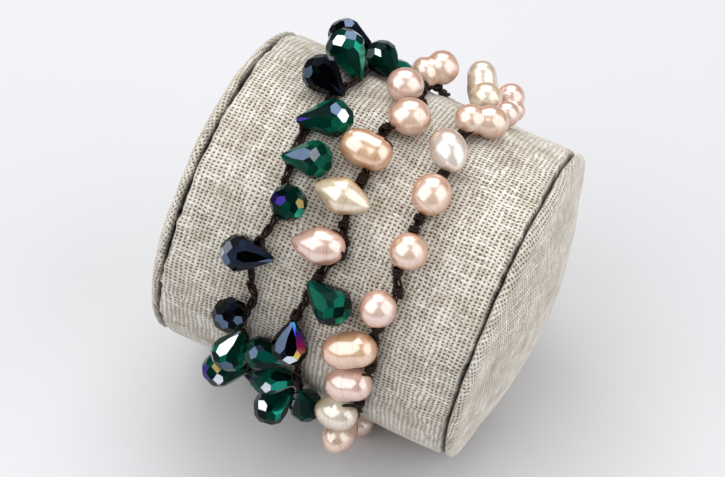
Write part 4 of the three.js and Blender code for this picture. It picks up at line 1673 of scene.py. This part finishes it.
    def clasp(self) -> tuple[float, float]:
        """Makes the barrel clasp across the loop's break.

        Returns:
            The lengths along the route where the cord leaves it on each side.
        """
        half = self.clasp_length / 2
        start = self.route.at_turn(self.clasp_turn)
        middle = self.route.place(start)[0]
        sides = []
        for length, step in ((start, self.clasp_search), (self.route.reach[-1], -self.clasp_search)):
            while (self.route.place(length)[0] - middle).length < half + self.route.cord_gap:
                length += step
            sides.append(length)
        first, last = (self.route.place(length)[0] for length in sides)
        along = (first - last).normalized()
        build = self.clasp_mesh()
        spin = Vector((0, 0, 1)).rotation_difference(along).to_matrix().to_4x4()
        bmesh.ops.transform(build, matrix=Matrix.Translation((first + last) / 2) @ spin, verts=build.verts)
        mesh = mesh_from(build, "clasp")
        piece = finish_piece("clasp_barrel_turned", mesh, self.pose, [SatinBrass().build()])
        register(piece, "clasp_barrel")
        return sides[0], sides[1]

    def make(self) -> None:
        """Builds the whole bracelet."""
        self.shown_beads()
        self.fronts()
        crystal_side, pearl_side = self.clasp()
        at = self.route.at_turn
        clear = ((517, 60), (533.5, 250), (550, 90), (573, 300), (589.5, 120))
        rows = [(turn, heading, 0, 0) for turn, heading in clear] + [(630, 180, -1, 4), (630, 0, 1, 2)]
        self.hidden_string("string_back_crystals", CrystalTone, at(494), at(680), rows)
        rows = [(900, 0, 0, 0), (915.2, 40, 0, 0), (930.4, 150, 0, 0), (990, 80, -1, 4), (990, 20, 1, 3)]
        self.hidden_string("string_back_pearls", PearlTone, at(852), at(1036), rows)
        rows = [(221, 200, 0, 0), (237.5, 20, 0, 0), (270, 180, -1, 0), (270, 0, 1, 0), (270, 160, 1, 16)]
        self.hidden_string("string_clasp_crystals", CrystalTone, crystal_side, at(330), rows)
        plain = self.cord.chain("string_clasp_plain_crochet", at(1219), pearl_side)
        register(plain, "string_clasp_plain")


def direction(azimuth: float, elevation: float) -> Vector:
    """The direction of a place round the object.

    Args:
        azimuth: degrees from the front, towards the right.
        elevation: degrees over the floor.

    Returns:
        A unit vector.
    """
    turn, rise = math.radians(azimuth), math.radians(elevation)
    return Vector((math.sin(turn) * math.cos(rise), -math.cos(turn) * math.cos(rise), math.sin(rise)))


@dataclass
class Studio:
    """White paper floor, three soft boxes and the photograph's camera."""

    target: Vector
    azimuth_deg: float = 24.26
    elevation_deg: float = 45.0
    distance_mm: float = 379.66
    aside_mm: float = 1.7
    below_mm: float = 0.76
    lens_px: float = 2000.0
    image_width_px: int = 725
    sensor_mm: float = 36.0
    floor_m: float = 4.0
    room_tint: str = "#e9edf2"
    room_strength: float = 0.16

    def view_matrix(self) -> Matrix:
        """The camera's rotation, level, at the photograph's azimuth and elevation.

        Returns:
            The rotation, whose columns point right, up and back.
        """
        return direction(self.azimuth_deg, self.elevation_deg).to_track_quat("Z", "Y").to_matrix()

    def camera(self) -> None:
        """Places the camera so that the roll stands in the frame as photographed."""
        data = bpy.data.cameras.new("studio_camera")
        data.sensor_width = self.sensor_mm
        data.lens = self.lens_px / self.image_width_px * self.sensor_mm
        data.clip_start = 10 * MM
        camera = put("studio_camera", data)
        turn = self.view_matrix()
        seen = Vector((self.aside_mm, -self.below_mm, -self.distance_mm)) * MM
        camera.matrix_world = Matrix.Translation(self.target - turn @ seen) @ turn.to_4x4()
        bpy.context.scene.camera = camera

    def softbox(
        self, name: str, azimuth: float, elevation: float, away: float, size: float, watts: float
    ) -> None:
        """Adds a square soft box that faces the bracelet.

        Args:
            name: the light's name.
            azimuth: its direction round the object, in degrees from the front.
            elevation: its height angle, in degrees.
            away: its distance, in metres.
            size: its side, in metres.
            watts: its power.
        """
        light = bpy.data.lights.new(name, "AREA")
        light.size = size
        light.energy = watts
        way = direction(azimuth, elevation)
        facing = way.to_track_quat("Z", "Y").to_matrix().to_4x4()
        put(name, light).matrix_world = Matrix.Translation(self.target + way * away) @ facing

    def floor(self) -> None:
        """Lays the white paper that the roll rests on."""
        build = bmesh.new()
        bmesh.ops.create_grid(build, x_segments=8, y_segments=8, size=self.floor_m / 2)
        mesh = bpy.data.meshes.new("paper_floor")
        build.to_mesh(mesh)
        build.free()
        mesh.materials.append(SweepPaper().build())
        put("paper_floor", mesh)

    def world(self) -> None:
        """Lights the room evenly with a soft grey."""
        world = bpy.data.worlds.new("soft_room")
        world.use_nodes = True
        room = {"Color": linear(self.room_tint), "Strength": self.room_strength}
        feed(world.node_tree.nodes["Background"], room)
        bpy.context.scene.world = world

    def make(self) -> None:
        """Builds the floor, lights and camera."""
        self.floor()
        self.world()
        self.softbox("left_box", -42.0, 43.0, 0.62, 0.78, 3.3)
        self.softbox("right_box", 92.0, 30.0, 0.62, 0.76, 2.7)
        self.softbox("top_box", 200.0, 64.0, 0.95, 0.95, 7.1)
        self.camera()
        scene = bpy.context.scene
        scene.view_settings.view_transform = "Standard"
        scene.view_settings.look = "None"


def main() -> None:
    """Builds the roll, the bracelet and the studio in order."""
    logging.basicConfig(level=logging.INFO, format="%(name)s %(message)s")
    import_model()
    pose = RollPose()
    pose.settle()
    route = CordRoute(pose)
    route.trace()
    DisplayRoll(pose, route).make()
    cord = CrochetCord(pose, route, material=WaxedThread().build())
    studio = Studio(pose.origin)
    Bracelet(pose, route, BeadMaker(pose, view=studio.view_matrix()), cord).make()
    studio.make()


if __name__ == "__main__":
    main()
